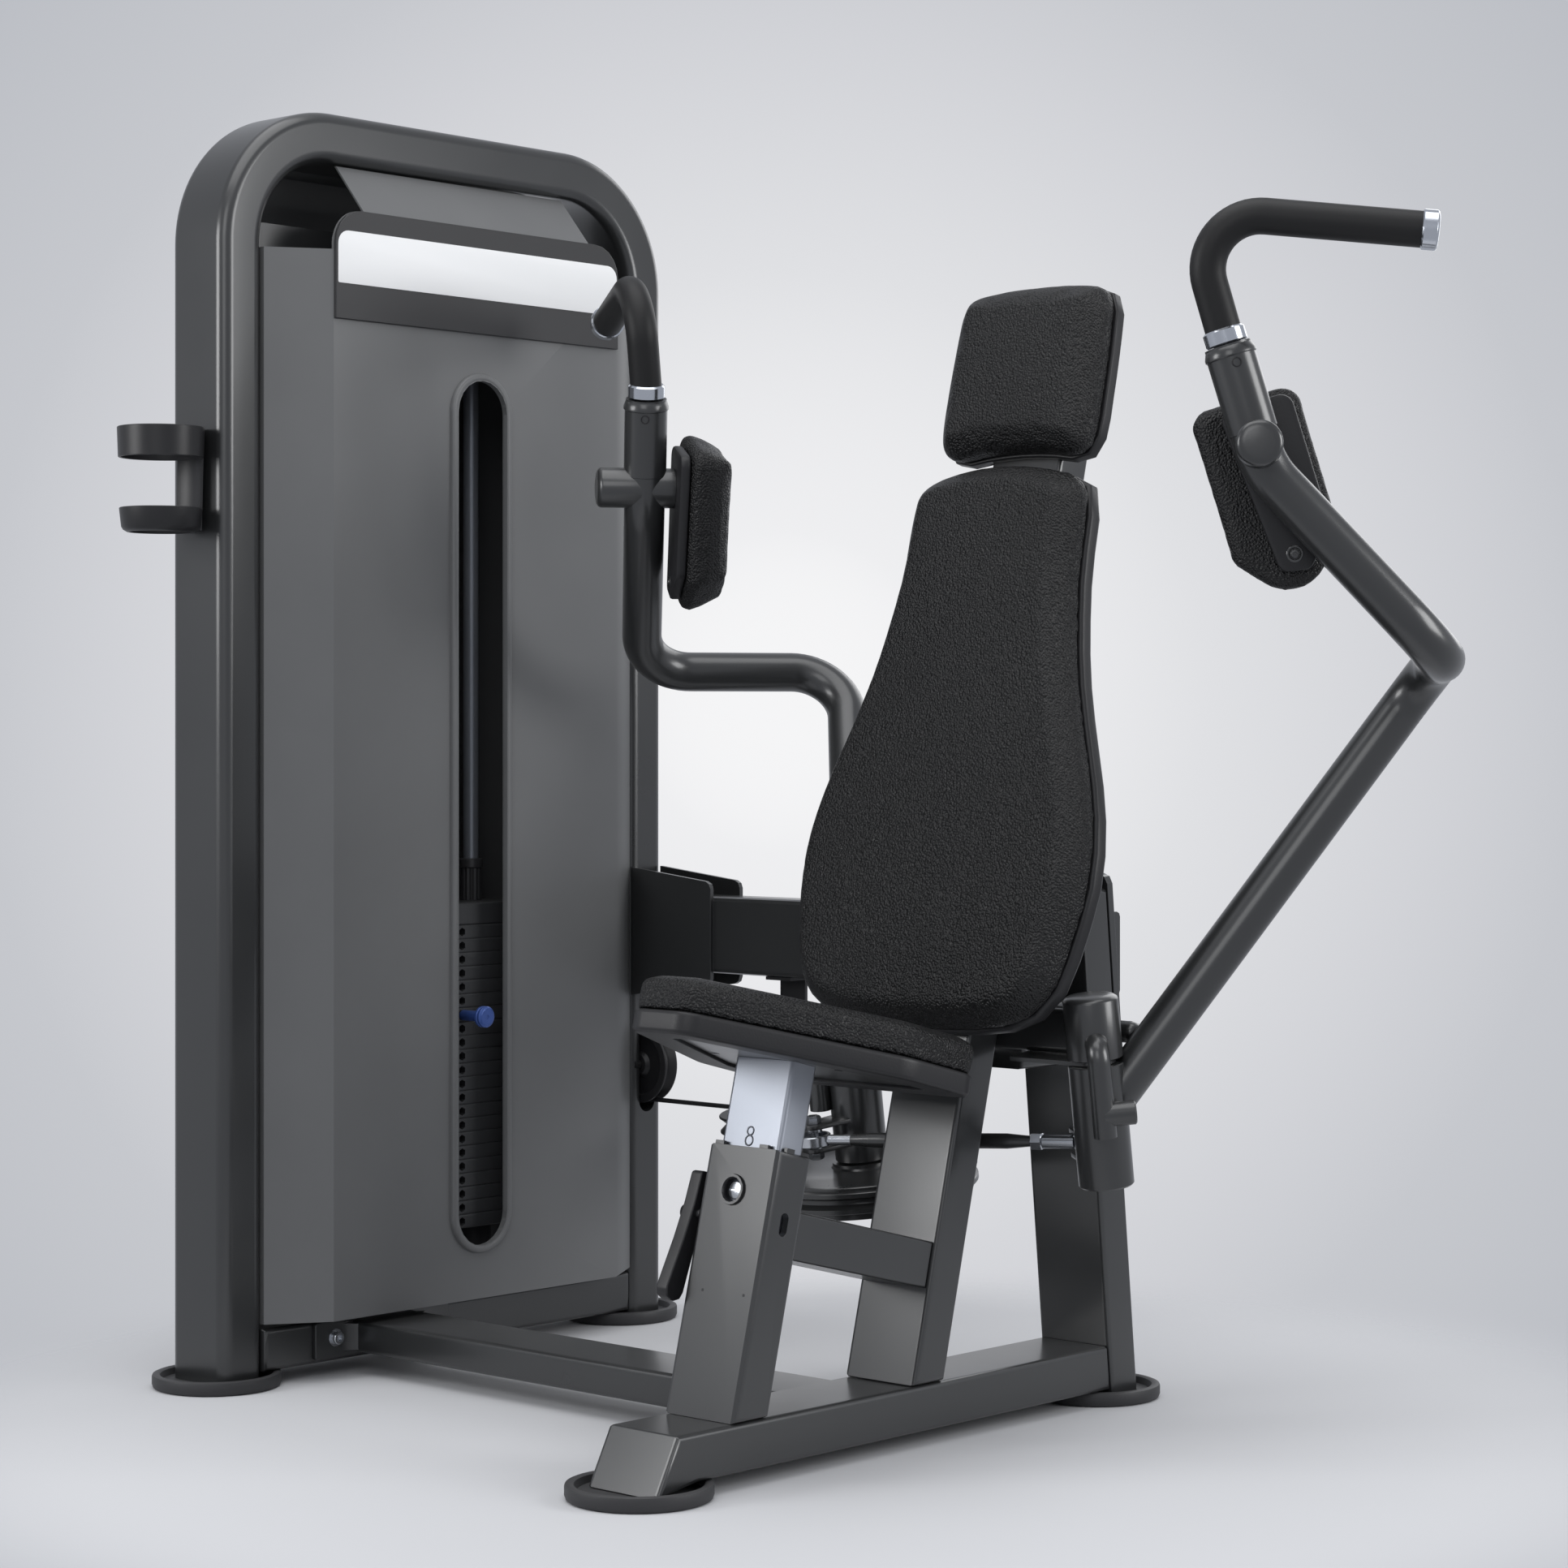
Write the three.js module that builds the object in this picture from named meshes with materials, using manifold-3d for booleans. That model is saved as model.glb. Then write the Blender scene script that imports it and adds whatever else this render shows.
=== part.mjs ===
// A selectorised pec deck: a weight tower, a seat with a back pad and a head pad, and two arms
// that swing on leaning pivots behind the seat and are tied together by a rod.
// Millimetres, Z up. The user sits facing -Y and the weight tower stands on the -X side.
// X = 0 is the middle of the seat.
import * as THREE from 'three';
import { mergeVertices } from 'three/addons/utils/BufferGeometryUtils.js';
import Module from 'manifold-3d';

const wasm = await Module();
wasm.setup();

// Angles and counts
const degree = Math.PI / 180;
const turn = 2 * Math.PI;
const leanAngle = 14.1 * degree; // back pad, seat post and seat, from upright
const pivotAngle = 8.2 * degree; // arm pivots, leaning towards the user
const rearPostSlope = 0.1; // run for each unit of rise, towards the user
const bendSteps = 5;
const cornerSteps = 2;
const roundSides = 16;
const pulleySides = 16;
const ringSides = 24;

// Clearances
const gap = 0.3; // between pieces that touch
const slack = 1; // around pieces that slide or turn
const overrun = 6; // how far a cut reaches past the face it opens

// Weight tower
const towerX = -793; // middle plane of the tower
const legY = 331; // middle of each leg
const legWide = 100; // along X
const legDeep = 60; // along Y
const legEdge = 15;
const towerHeight = 1500;
const hoopBend = 167; // outer radius of the bent corners
const legWall = 6;
const tubeLow = 17; // underside of the floor tubes
const tubeHigh = 50; // height of the floor tubes
const tubeEdge = 6;

// Rubber feet
const footRadius = 75;
const footHeight = 16.5;
const footDish = 61;
const footFloor = 7.7;
const footBevel = 4;
const footRim = 4;

// Shrouds
const sheet = 3;
const frontShroudX = -700; // outer face of the front shroud
const shroudFlat = 232; // half width of the flat face
const flangeBite = 2; // how far a shroud's flange lies on the leg's flat side
const frontFoldX = -744;
const rearShroudX = -873;
const rearFoldX = -842.5;
const shroudLow = 73;
const shroudShoulder = towerHeight - hoopBend - 3; // top of the folded sides
const placardTop = towerHeight - 122;
const slopeTopX = -752;
const slopeTopZ = towerHeight - 62;
const slopeHalf = 185;
const windowHalf = 40;
const windowLow = 138;
const windowHigh = towerHeight - 308;
const windowRim = 9;
const windowLip = 5;

// Placard board
const placardLow = placardTop - 129;
const placardThick = 4;
const placardCorner = 40;

// Weight stack
const plateWide = 120; // along X
const plateLong = 220; // along Y
const platePitch = 16.9;
const plateChamfer = 1.4;
const stackLow = 155;
const plateCount = 22;
const liftedCount = 7;
const topPlateThick = 26.5;
const rodSpacing = 69; // of each guide rod from the middle
const rodRadius = 9.5;
const rodTop = towerHeight - 260;
const rodBarThick = 10;
const rodBarWide = 60;
const bumperRadius = 25;
const stemRadius = 12;
const stemEnd = 12; // stem's end above the lowest plate's underside
const pinHole = 5.5;
const pinHoleDepth = 44;
const pinRadius = 4.5;
const pinKnobRadius = 13;
const pinKnobThick = 11;
const pinReach = 46; // how far the knob stands out of the plates
const pinTip = 11; // past the stem's middle
const stemHole = 7;
const bushRadius = 17;
const bushHigh = 68;
const bushRibs = 4;
const bushGroove = 2;

// Cross member and pulleys
const channelWide = 50;
const channelWall = 4;
const channelTop = towerHeight - 138;
const channelLow = channelTop - 74;
const channelShoulder = towerHeight - hoopBend - 3; // the hoop's bends start above this
const channelCut = 8;
const pulleyPitch = 45; // radius of the cable's middle line
const pulleyRim = 50;
const pulleyWide = 22;
const pulleyHub = 13;
const pulleyWeb = 5; // depth of the side recess
const pulleyRimWall = 7;
const axleRadius = 6;
const topPulleyZ = channelLow + 17;
const cableRadius = 3;
const lowSlotHalf = 14;
const lowSlotLow = 272;
const lowSlotHigh = 402;
const doorLow = rodTop + 12;
const earThick = 5;
const earRadius = 18;

// Connecting floor beam
const connectFront = -173;
const connectBack = -73;
const connectLow = 26;
const connectTop = 64;
const teeHalf = 105;
const teeThick = 5;
const teeLow = 22;
const teeTop = 66;

// Seat frame tubes
const postHalf = 50;
const postDeep = 50;
const uprightY = -64; // front face of the back upright at the base beam's top
const baseTop = 67;
const seatPostFront = 269.6; // forward of the upright's front face
const seatPostTop = 211.4; // along the lean
const postTab = 4;
const noseTopY = -421;
const noseFootY = -452;
const noseFootZ = 7.7;
const noseHeelY = -392;
const frontFootY = -427;
const rearFootY = 314;
const rearPostY = 276; // front face at the base beam's top
const rearPostFoot = 7.7;
const rearPostTop = 586;
const backPlateThick = 9;
const backPlateLow = 410;
const backPlateTop = 604;
const braceLow = 105;
const braceHigh = 155;
const braceHalf = 45;
const uprightTop = 1145;
const postBore = 16; // bush in the seat post's front
const postBoreAt = 166;
const postBoreX = -6;
const bushLip = 3;
const screwRadius = 8;
const slotHalf = 6;
const slotHigh = 24;
const slotAt = 138;
const slotForward = 246;

// Inner seat post
const innerHalf = 41;
const innerDeep = 38;
const innerRecess = 7.5;
const innerEdge = 5;
const innerLow = -35;
const cavityLow = -42;

// Seat
const seatUnder = 301;
const seatRimHigh = 24;
const seatPadHigh = 37;
const seatPadWall = 27; // straight side of the seat cushion
const seatRimEdge = 5;
const seatHalf = 152;
const seatRear = 90;
const seatShoulder = 205;
const seatNose = 428;
const noseHalf = 38;
const seatRearCorner = 30;
const seatShoulderBend = 60;
const seatNoseBend = 28;
const seatLeastCorner = 9;
const recessInset = 40;
const recessDeep = 8;
const seatPlateThick = 4.5;
const seatPlateHole = 5;

// Seat lever
const leverPivotForward = 262;
const leverPivotUp = 138;
const leverInner = -56;
const leverOuter = -72;
const leverTipForward = 279;
const leverTipUp = 45;
const leverTopForward = 262;
const leverTopUp = 182;
const leverHandleHalf = 14;
const leverNeckHalf = 8;
const leverPinRadius = 5;
const leverPinHead = 8;
const leverLoopDepth = 4;
const leverLoopWall = 4;

// Back pad and head pad, measured along the lean and across it
const backHalf = 200.5;
const backLow = 378;
const backHigh = 641;
const headHalf = 108;
const headLow = 1027;
const headHigh = 205;
const shellFront = 20;
const shellEdge = 5;
const headShellFront = 9;
const headShellBack = -6;
const backFace = 59;
const headFace = 48;
const padWall = 15; // straight side of a cushion
const padInset = 22; // width of the bevel round a cushion's face
const padDraw = 2; // side drawn in where it meets the shell
const padCrown = 1.5;
const padCrownShare = 0.6; // size of the crown's ring against the face

// Pivots
const pivotX = 175;
const pivotY = 100;
const pivotZ = 330;
const pivotRadius = 30;
const pivotLow = -54;
const pivotSplit = 80;
const splitGap = 6.5;
const pivotTop = 150;
const capHigh = 5.6;
const capEdge = 6;
const shaftRadius = 19;
const shaftLow = -38;
const shaftTop = 134;
const boreEnd = 4;

// Yoke between the pivots and the posts
const yokeFront = 89;
const yokeBack = 125;
const yokeHalf = 136;
const yokeLow = pivotZ + 87;
const yokeTop = yokeLow + 48;
const yokePlateHalf = 22;
const yokePlateInner = 100;
const stubLow = yokeLow - 25;
const stopBumper = 12;
const stopHeight = yokeLow + 22;
const stopBehind = 1.94; // of each bumper, behind the arm tube's middle
const stopTabStart = 124;
const stopTabEnd = 150;
const stopTabWall = 1; // of the tab, round the bumper
const stopTabHalf = 13;

// Arms, right side; the left one is its mirror image
const armTube = 24;
const armFoot = [182, 107, 369];
const elbow = [425, 362, 838];
const outerBend = [570, 147, 838];
const padBend = [440, 22, 1028];
const collarTop = [412, -3, 1152];
const gripCorner = [390, -39, 1287];
const gripEnd = [589, 106, 1262];
const elbowBend = 62;
const outerBendRadius = 70;
const padBendRadius = 90;
const gripBend = 52;
const sleeveRadius = 25;
const sleeveLow = 0.3; // where the sleeve starts, as a share of the way from pad bend to collar
const collarRadius = 26.5;
const collarHigh = 12;
const ringRadius = 21.5;
const ringHigh = 16;
const gripRadius = 18.4;
const gripStem = 14;
const pegRadius = 23.5;
const pegReach = 54;
const pegDome = 4;
const padPeg = [434.7, 18.4, 1050];
const padFacing = [-0.59, 0.81, 0];
const padMount = 33; // pad board's back, from the tube's middle

// Arm pads
const armPadHalf = 59;
const armPadTop = 58; // above the peg
const armPadLow = -170; // below the peg
const armPadPoint = 66; // height of the pointed lower end
const armPadCorner = 22;
const armBoardInset = 9;
const armBoardThick = 12;
const armPadThick = 50;

// Cranks and tie rod, seen along the pivots
const rightCrank = 54.4;
const rightCrankAngle = 149.4 * degree;
const leftCrank = 62;
const leftCrankAngle = 257.6 * degree;
const tieLength = 325;
const tieAngle = 17.45 * degree;
const tieHeight = -16;
const tieRadius = 8.5;
const tieNeck = 6;
const eyeThick = 12;
const rightEye = 12;
const leftEye = 19.6;
const leftEyeBore = 16.3;
const crankBolt = 4.5;
const crankPlate = 5;
const crankHalf = 14;
const crankOpening = 22; // between the two plates of a clevis
const rodEndLength = 62;
const rodEndRadius = 9;

// Bridge rod over each split, and its bumper
const bridgeRadius = 12.5;
const bridgeOut = 41;
const bridgeAngle = -47 * degree;
const bridgeFoot = 8;
const bridgeHead = 107;
const bridgeBend = 20;
const lugRadius = 13;
const lugLength = 22;
const lugHeight = 32;

// Cable wheel
const wheelPitch = 125;
const wheelRim = 131;
const wheelThick = 40;
const wheelTop = -54;
const wheelFlange = 8;
const wheelStep = 6;
const wheelBoss = 34;
const wheelRecess = 6;

// Redirect pulley under the tie beam
const redirectX = -501;

// Tie beam
const beamFrontY = 306;
const beamBackY = 356;
const beamLow = 459;
const beamTop = 556;
const beamEnd = 5;
const wingThick = 5;
const wingEndX = -600;
const wingTopZ = 590;
const wingTopEndZ = 574;
const wingLowZ = 425;
const wingLowEndZ = 444;
const wingCut = 10;

// Cup holder
const cupRadius = 50;
const cupTaper = 1.2;
const cupWall = 3;
const cupRingLow = 1080;
const cupTop = 1115;
const cupLow = 994;
const cupLipTop = 1022;
const cupFloorHole = 36;
const cupBackHalf = 24;

// Selector cable above the stack ends this far from its neighbours
const dropGap = 1;

// Facets flatter than this are merged
const facetTolerance = 0.02;

// Finishes
const finish = (color, metalness, roughness) => new THREE.MeshStandardMaterial({ color, metalness, roughness });
const framePaint = finish(0x46484b, 0.55, 0.42);
const shroudPaint = finish(0x5b5c5f, 0.4, 0.5);
const boardPaint = finish(0x3c3d40, 0.2, 0.55);
const plateSteel = finish(0x2e3033, 0.6, 0.5);
const rodSteel = finish(0xb9bdc4, 0.9, 0.25);
const aluminium = finish(0xbcc4cf, 0.85, 0.35);
const bareSteel = finish(0x85888d, 0.8, 0.45);
const rubber = finish(0x1c1d1f, 0.0, 0.85);
const gripRubber = finish(0x2a2a2b, 0.0, 0.6);
const plastic = finish(0x3d3e40, 0.0, 0.5);
const blackPlastic = finish(0x1a1b1d, 0.0, 0.45);
const leather = finish(0x25262a, 0.0, 0.65);
const cableJacket = finish(0x141517, 0.0, 0.5);
const pinBlue = finish(0x3f5fb0, 0.1, 0.4);

// Turns a closed three.js geometry into a solid for joining and cutting
function solidOf(geometry) {
  const bare = geometry.index ? geometry.toNonIndexed() : geometry.clone();
  bare.deleteAttribute('normal');
  bare.deleteAttribute('uv');
  const merged = mergeVertices(bare);
  const vertProperties = new Float32Array(merged.attributes.position.array);
  const triVerts = new Uint32Array(merged.index.array);
  const solid = new wasm.Manifold(new wasm.Mesh({ numProp: 3, vertProperties, triVerts }));
  if (solid.volume() > 0) return solid;
  triVerts.reverse();
  return new wasm.Manifold(new wasm.Mesh({ numProp: 3, vertProperties, triVerts }));
}

function geometryOf(solid) {
  const mesh = solid.getMesh();
  const geometry = new THREE.BufferGeometry();
  geometry.setAttribute('position', new THREE.BufferAttribute(mesh.vertProperties, 3));
  geometry.setIndex(new THREE.BufferAttribute(mesh.triVerts, 1));
  geometry.computeVertexNormals();
  return geometry;
}

function join(...solids) {
  return solids.reduce((whole, piece) => whole.add(piece));
}

function cut(solid, ...tools) {
  return tools.reduce((whole, tool) => whole.subtract(tool), solid);
}

const machine = new THREE.Group();

// Adds one sub-part; its solid is drawn in the frame of the group that carries it
function addPart(name, solid, material, carrier = machine) {
  const mesh = new THREE.Mesh(geometryOf(solid.asOriginal().simplify(facetTolerance)), material);
  mesh.name = name;
  carrier.add(mesh);
  return mesh;
}

// Basic shapes

function block(x0, x1, y0, y1, z0, z1) {
  const geometry = new THREE.BoxGeometry(x1 - x0, y1 - y0, z1 - z0);
  geometry.translate((x0 + x1) / 2, (y0 + y1) / 2, (z0 + z1) / 2);
  return solidOf(geometry);
}

// A round bar between two points
function roundBar(from, to, radius, sides = roundSides, endRadius = radius) {
  const start = new THREE.Vector3(...from);
  const end = new THREE.Vector3(...to);
  const along = end.clone().sub(start);
  const geometry = new THREE.CylinderGeometry(endRadius, radius, along.length(), sides);
  geometry.translate(0, along.length() / 2, 0);
  const up = new THREE.Vector3(0, 1, 0);
  geometry.applyQuaternion(new THREE.Quaternion().setFromUnitVectors(up, along.normalize()));
  geometry.translate(...from);
  return solidOf(geometry);
}

// A profile of [radius, height] points turned about Z
function turned(profile, sides = roundSides) {
  const geometry = new THREE.LatheGeometry(profile.map(([r, h]) => new THREE.Vector2(r, h)), sides);
  geometry.rotateX(Math.PI / 2);
  return solidOf(geometry);
}

// A shape drawn out with rounded edges along the direction that its name gives
const drawnBasis = {
  x: new THREE.Matrix4().makeBasis(
    new THREE.Vector3(0, 1, 0), new THREE.Vector3(0, 0, 1), new THREE.Vector3(1, 0, 0)),
  y: new THREE.Matrix4().makeBasis(
    new THREE.Vector3(1, 0, 0), new THREE.Vector3(0, 0, 1), new THREE.Vector3(0, -1, 0)),
  z: new THREE.Matrix4(),
};

function drawnOut(direction, outline, low, high, edge = 0, holes = []) {
  const shape = outline instanceof THREE.Shape ? outline : shapeOf(outline);
  holes.forEach((hole) => shape.holes.push(shapeOf(hole)));
  const options = { depth: high - low - 2 * edge, curveSegments: bendSteps, bevelEnabled: edge > 0 };
  options.bevelThickness = edge;
  options.bevelSize = edge;
  options.bevelOffset = -edge;
  options.bevelSegments = cornerSteps;
  const geometry = new THREE.ExtrudeGeometry(shape, options);
  geometry.translate(0, 0, edge);
  geometry.applyMatrix4(drawnBasis[direction]);
  if (direction === 'x') geometry.translate(low, 0, 0);
  if (direction === 'y') geometry.translate(0, high, 0);
  if (direction === 'z') geometry.translate(0, 0, low);
  return solidOf(geometry);
}

function shapeOf(points) {
  return new THREE.Shape(points.map(([a, b]) => new THREE.Vector2(a, b)));
}

// A closed outline whose corners [a, b, radius] are rounded by arcs
function roundedOutline(corners, steps = cornerSteps) {
  const points = [];
  corners.forEach(([a, b, radius], i) => {
    const here = new THREE.Vector2(a, b);
    const [pa, pb] = corners.at(i - 1);
    const [na, nb] = corners[(i + 1) % corners.length];
    const back = new THREE.Vector2(pa, pb).sub(here).normalize();
    const ahead = new THREE.Vector2(na, nb).sub(here).normalize();
    if (!radius) {
      points.push([a, b]);
      return;
    }
    const half = Math.acos(THREE.MathUtils.clamp(back.dot(ahead), -1, 1)) / 2;
    const middle = back.clone().add(ahead).normalize();
    const centre = here.clone().addScaledVector(middle, radius / Math.sin(half));
    const first = here.clone().addScaledVector(back, radius / Math.tan(half)).sub(centre);
    const last = here.clone().addScaledVector(ahead, radius / Math.tan(half)).sub(centre);
    const sweep = Math.atan2(first.cross(last), first.dot(last));
    for (let k = 0; k <= steps; k += 1) {
      const spoke = first.clone().rotateAround(new THREE.Vector2(), (sweep * k) / steps);
      points.push([centre.x + spoke.x, centre.y + spoke.y]);
    }
  });
  return points;
}

// A stadium, upright in its own plane
function stadium(middle, low, high, half, steps = bendSteps) {
  return roundedOutline([
    [middle - half, low, half], [middle + half, low, half],
    [middle + half, high, half], [middle - half, high, half],
  ], steps);
}

// Moves each point of a closed outline inwards along the mitre of its corner
function inset(outline, distance) {
  const area = THREE.ShapeUtils.area(outline.map(([a, b]) => new THREE.Vector2(a, b)));
  const side = Math.sign(area);
  return outline.map(([a, b], i) => {
    const here = new THREE.Vector2(a, b);
    const before = here.clone().sub(new THREE.Vector2(...outline.at(i - 1))).normalize();
    const after = new THREE.Vector2(...outline[(i + 1) % outline.length]).sub(here).normalize();
    const middle = before.clone().add(after).normalize();
    const normal = new THREE.Vector2(-middle.y, middle.x).multiplyScalar(side);
    const mitre = Math.max(Math.cos(Math.acos(THREE.MathUtils.clamp(before.dot(after), -1, 1)) / 2), 0.5);
    return [a + (normal.x * distance) / mitre, b + (normal.y * distance) / mitre];
  });
}

function centreOf(outline) {
  const sum = outline.reduce(([a, b], [c, d]) => [a + c, b + d]);
  return sum.map((value) => value / outline.length);
}

function scaledAbout(outline, share) {
  const [ca, cb] = centreOf(outline);
  return outline.map(([a, b]) => [ca + (a - ca) * share, cb + (b - cb) * share]);
}

// A curve that passes through hand-set points, as a closed outline with even steps
function smoothOutline(points, count) {
  const knots = points.map(([a, b]) => new THREE.Vector3(a, b, 0));
  const curve = new THREE.CatmullRomCurve3(knots, true, 'centripetal');
  return curve.getSpacedPoints(count).slice(0, count).map((p) => [p.x, p.y]);
}

// Skins a stack of rings with the same number of points and closes both ends with fans
function skinned(rings, lowCentre, highCentre) {
  const count = rings[0].length;
  const corners = rings.flat();
  const lowIndex = corners.length;
  const positions = [...corners, lowCentre, highCentre].flat();
  const index = [];
  rings.slice(1).forEach((ring, level) => {
    ring.forEach((point, i) => {
      const next = (i + 1) % count;
      const a = level * count + i;
      const b = level * count + next;
      index.push(a, b, b + count, a, b + count, a + count);
    });
  });
  const last = (rings.length - 1) * count;
  for (let i = 0; i < count; i += 1) {
    const next = (i + 1) % count;
    index.push(lowIndex, next, i, lowIndex + 1, last + i, last + next);
  }
  const geometry = new THREE.BufferGeometry();
  geometry.setAttribute('position', new THREE.Float32BufferAttribute(positions, 3));
  geometry.setIndex(index);
  return solidOf(geometry);
}

// A path made of straight runs between hand-set points, followed exactly
class Route extends THREE.Curve {
  constructor(points) {
    super();
    this.points = points;
  }

  getPoint(t) {
    const place = THREE.MathUtils.clamp(t, 0, 1) * (this.points.length - 1);
    const i = Math.min(Math.floor(place), this.points.length - 2);
    return this.points[i].clone().lerp(this.points[i + 1], place - i);
  }

  getPointAt(u) {
    return this.getPoint(u);
  }

  getTangentAt(u) {
    return this.getTangent(u);
  }
}

// Corner points joined by true arcs; radii belong to the inner corners
function bentRoute(corners, radii, steps = bendSteps) {
  const points = [corners[0].clone()];
  for (let i = 1; i < corners.length - 1; i += 1) {
    const here = corners[i];
    const back = corners[i - 1].clone().sub(here).normalize();
    const ahead = corners[i + 1].clone().sub(here).normalize();
    const half = back.angleTo(ahead) / 2;
    const radius = radii[i - 1];
    const middle = back.clone().add(ahead).normalize();
    const centre = here.clone().addScaledVector(middle, radius / Math.sin(half));
    const first = here.clone().addScaledVector(back, radius / Math.tan(half)).sub(centre);
    const axis = back.clone().cross(ahead).normalize();
    const sweep = Math.PI - 2 * half;
    for (let k = 0; k <= steps; k += 1) {
      points.push(first.clone().applyAxisAngle(axis, (-sweep * k) / steps).add(centre));
    }
  }
  points.push(corners.at(-1).clone());
  return points;
}

function roundShape(radius) {
  const shape = new THREE.Shape();
  shape.absarc(0, 0, radius, 0, turn, false);
  return shape;
}

function tube(points, radius, sides = 12) {
  const options = { extrudePath: new Route(points), steps: points.length - 1, bevelEnabled: false };
  options.curveSegments = sides / 2;
  return solidOf(new THREE.ExtrudeGeometry(roundShape(radius), options));
}

const vector = (point) => new THREE.Vector3(...point);

// Points of an arc about a centre, from one angle to another, in the plane of two directions
function arcPoints(centre, radius, from, to, first, second, steps = bendSteps) {
  const points = [];
  for (let k = 0; k <= steps; k += 1) {
    const angle = from + ((to - from) * k) / steps;
    const spoke = first.clone().multiplyScalar(Math.cos(angle) * radius);
    spoke.addScaledVector(second, Math.sin(angle) * radius);
    points.push(spoke.add(centre));
  }
  return points;
}

// Frames that pieces are placed in

// Leaning frame of the back and seat: local Z climbs the lean, local -Y points forward
const leaning = new THREE.Group();
leaning.position.set(0, uprightY, baseTop);
leaning.rotation.x = -leanAngle;
machine.add(leaning);

// A point of the leaning frame as [y, z] of the machine; forward is from the upright's front face
function leanPoint(forward, up) {
  const y = uprightY + up * Math.sin(leanAngle) - forward * Math.cos(leanAngle);
  const z = baseTop + up * Math.cos(leanAngle) + forward * Math.sin(leanAngle);
  return [y, z];
}

function leanAtHeight(forward, z) {
  return leanPoint(forward, (z - baseTop - forward * Math.sin(leanAngle)) / Math.cos(leanAngle));
}

// Pivot frames: local Z is the pivot's axis
function pivotGroup(side) {
  const group = new THREE.Group();
  group.position.set(side * pivotX, pivotY, pivotZ);
  group.rotation.x = pivotAngle;
  group.updateMatrix();
  machine.add(group);
  return group;
}
const pivots = { right: pivotGroup(1), left: pivotGroup(-1) };

// A solid drawn in the machine's frame, moved into a group's own frame
function intoGroup(solid, group) {
  const geometry = geometryOf(solid);
  geometry.applyMatrix4(group.matrix.clone().invert());
  return solidOf(geometry);
}

function outOfGroup(solid, group) {
  const geometry = geometryOf(solid);
  geometry.applyMatrix4(group.matrix);
  return solidOf(geometry);
}

// Weight tower

const legFront = towerX + legWide / 2;
const legBack = towerX - legWide / 2;
const legInner = legY - legDeep / 2;
const legOuter = legY + legDeep / 2;
const footTop = footFloor + gap;
const shroudHalf = legInner - gap; // half width over the folded sides

// The hoop's outline in the Y-Z plane, drawn in by a wall
function hoopOutline(wall) {
  const outer = legOuter - wall;
  const inner = legInner + wall;
  const top = towerHeight - wall;
  const under = towerHeight - legDeep + wall;
  const bend = hoopBend - wall;
  const innerBend = hoopBend - legDeep + wall;
  return roundedOutline([
    [-outer, -overrun, 0], [-outer, top, bend], [outer, top, bend], [outer, -overrun, 0],
    [inner, -overrun, 0], [inner, under, innerBend], [-inner, under, innerBend], [-inner, -overrun, 0],
  ], bendSteps);
}

function towerFrame() {
  const hoop = drawnOut('x', hoopOutline(0), legBack, legFront, legEdge);
  const hollow = drawnOut('x', hoopOutline(legWall), legBack + legWall, legFront - legWall);
  const pulleySlot = drawnOut('x', stadium(legY, lowSlotLow, lowSlotHigh, lowSlotHalf),
    legFront - legWall - slack, legFront + overrun);
  const cableDoor = block(towerX - lowSlotHalf, towerX + lowSlotHalf, legInner - overrun,
    legInner + legWall + slack, doorLow, channelTop - slack);
  const belowFeet = block(legBack - overrun, legFront + overrun, -legOuter - overrun, legOuter + overrun,
    -2 * overrun, footTop);
  const ears = [-1, 1].map((side) => {
    const inner = legY + side * lowSlotHalf;
    const outer = inner + side * earThick;
    const [low, high] = [Math.min(inner, outer), Math.max(inner, outer)];
    const plate = drawnOut('y', roundedOutline([
      [lowPulleyX - earRadius, lowPulleyZ - earRadius, earRadius / 2],
      [legFront - slack, lowPulleyZ - earRadius, 0],
      [legFront - slack, lowPulleyZ + earRadius, 0],
      [lowPulleyX - earRadius, lowPulleyZ + earRadius, earRadius / 2],
    ]), low, high);
    return plate;
  });
  const reach = lowSlotHalf + earThick;
  const axle = roundBar([lowPulleyX, legY - reach, lowPulleyZ], [lowPulleyX, legY + reach, lowPulleyZ], axleRadius);
  return join(cut(hoop, hollow, pulleySlot, cableDoor, belowFeet), ...ears, axle);
}

function rubberFoot() {
  return turned([
    [0, 0], [footRadius - footBevel, 0], [footRadius, footBevel], [footRadius, footHeight - footRim / 2],
    [footRadius - footRim / 2, footHeight], [footRadius - 2 * footRim, footHeight], [footDish, footFloor],
    [0, footFloor],
  ], ringSides);
}

function addFoot(name, x, y) {
  addPart(name, rubberFoot(), rubber).position.set(x, y, 0);
}

// One folded sheet seen from above, from its left fold to its right one
function foldedSheet(faceX, foldX, low, high) {
  const facing = Math.sign(faceX - towerX);
  const back = faceX - facing * sheet;
  const flange = towerX + facing * (legWide / 2 - legEdge - flangeBite);
  return drawnOut('z', [
    [flange, -shroudHalf], [foldX, -shroudHalf], [faceX, -shroudFlat], [faceX, shroudFlat],
    [foldX, shroudHalf], [flange, shroudHalf], [flange, shroudHalf - sheet],
    [foldX - (facing * sheet) / 2, shroudHalf - sheet], [back, shroudFlat - sheet / 2], [back, -shroudFlat + sheet / 2],
    [foldX - (facing * sheet) / 2, -shroudHalf + sheet], [flange, -shroudHalf + sheet],
  ], low, high);
}

// Room for the hoop's bends beside the upper part of a shroud
function shoulderRoom() {
  return [-1, 1].map((side) => {
    const [low, high] = side < 0 ? [-shroudHalf - overrun, -shroudFlat] : [shroudFlat, shroudHalf + overrun];
    return block(rearShroudX - overrun, frontShroudX + overrun, low, high, shroudShoulder, towerHeight);
  });
}

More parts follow.
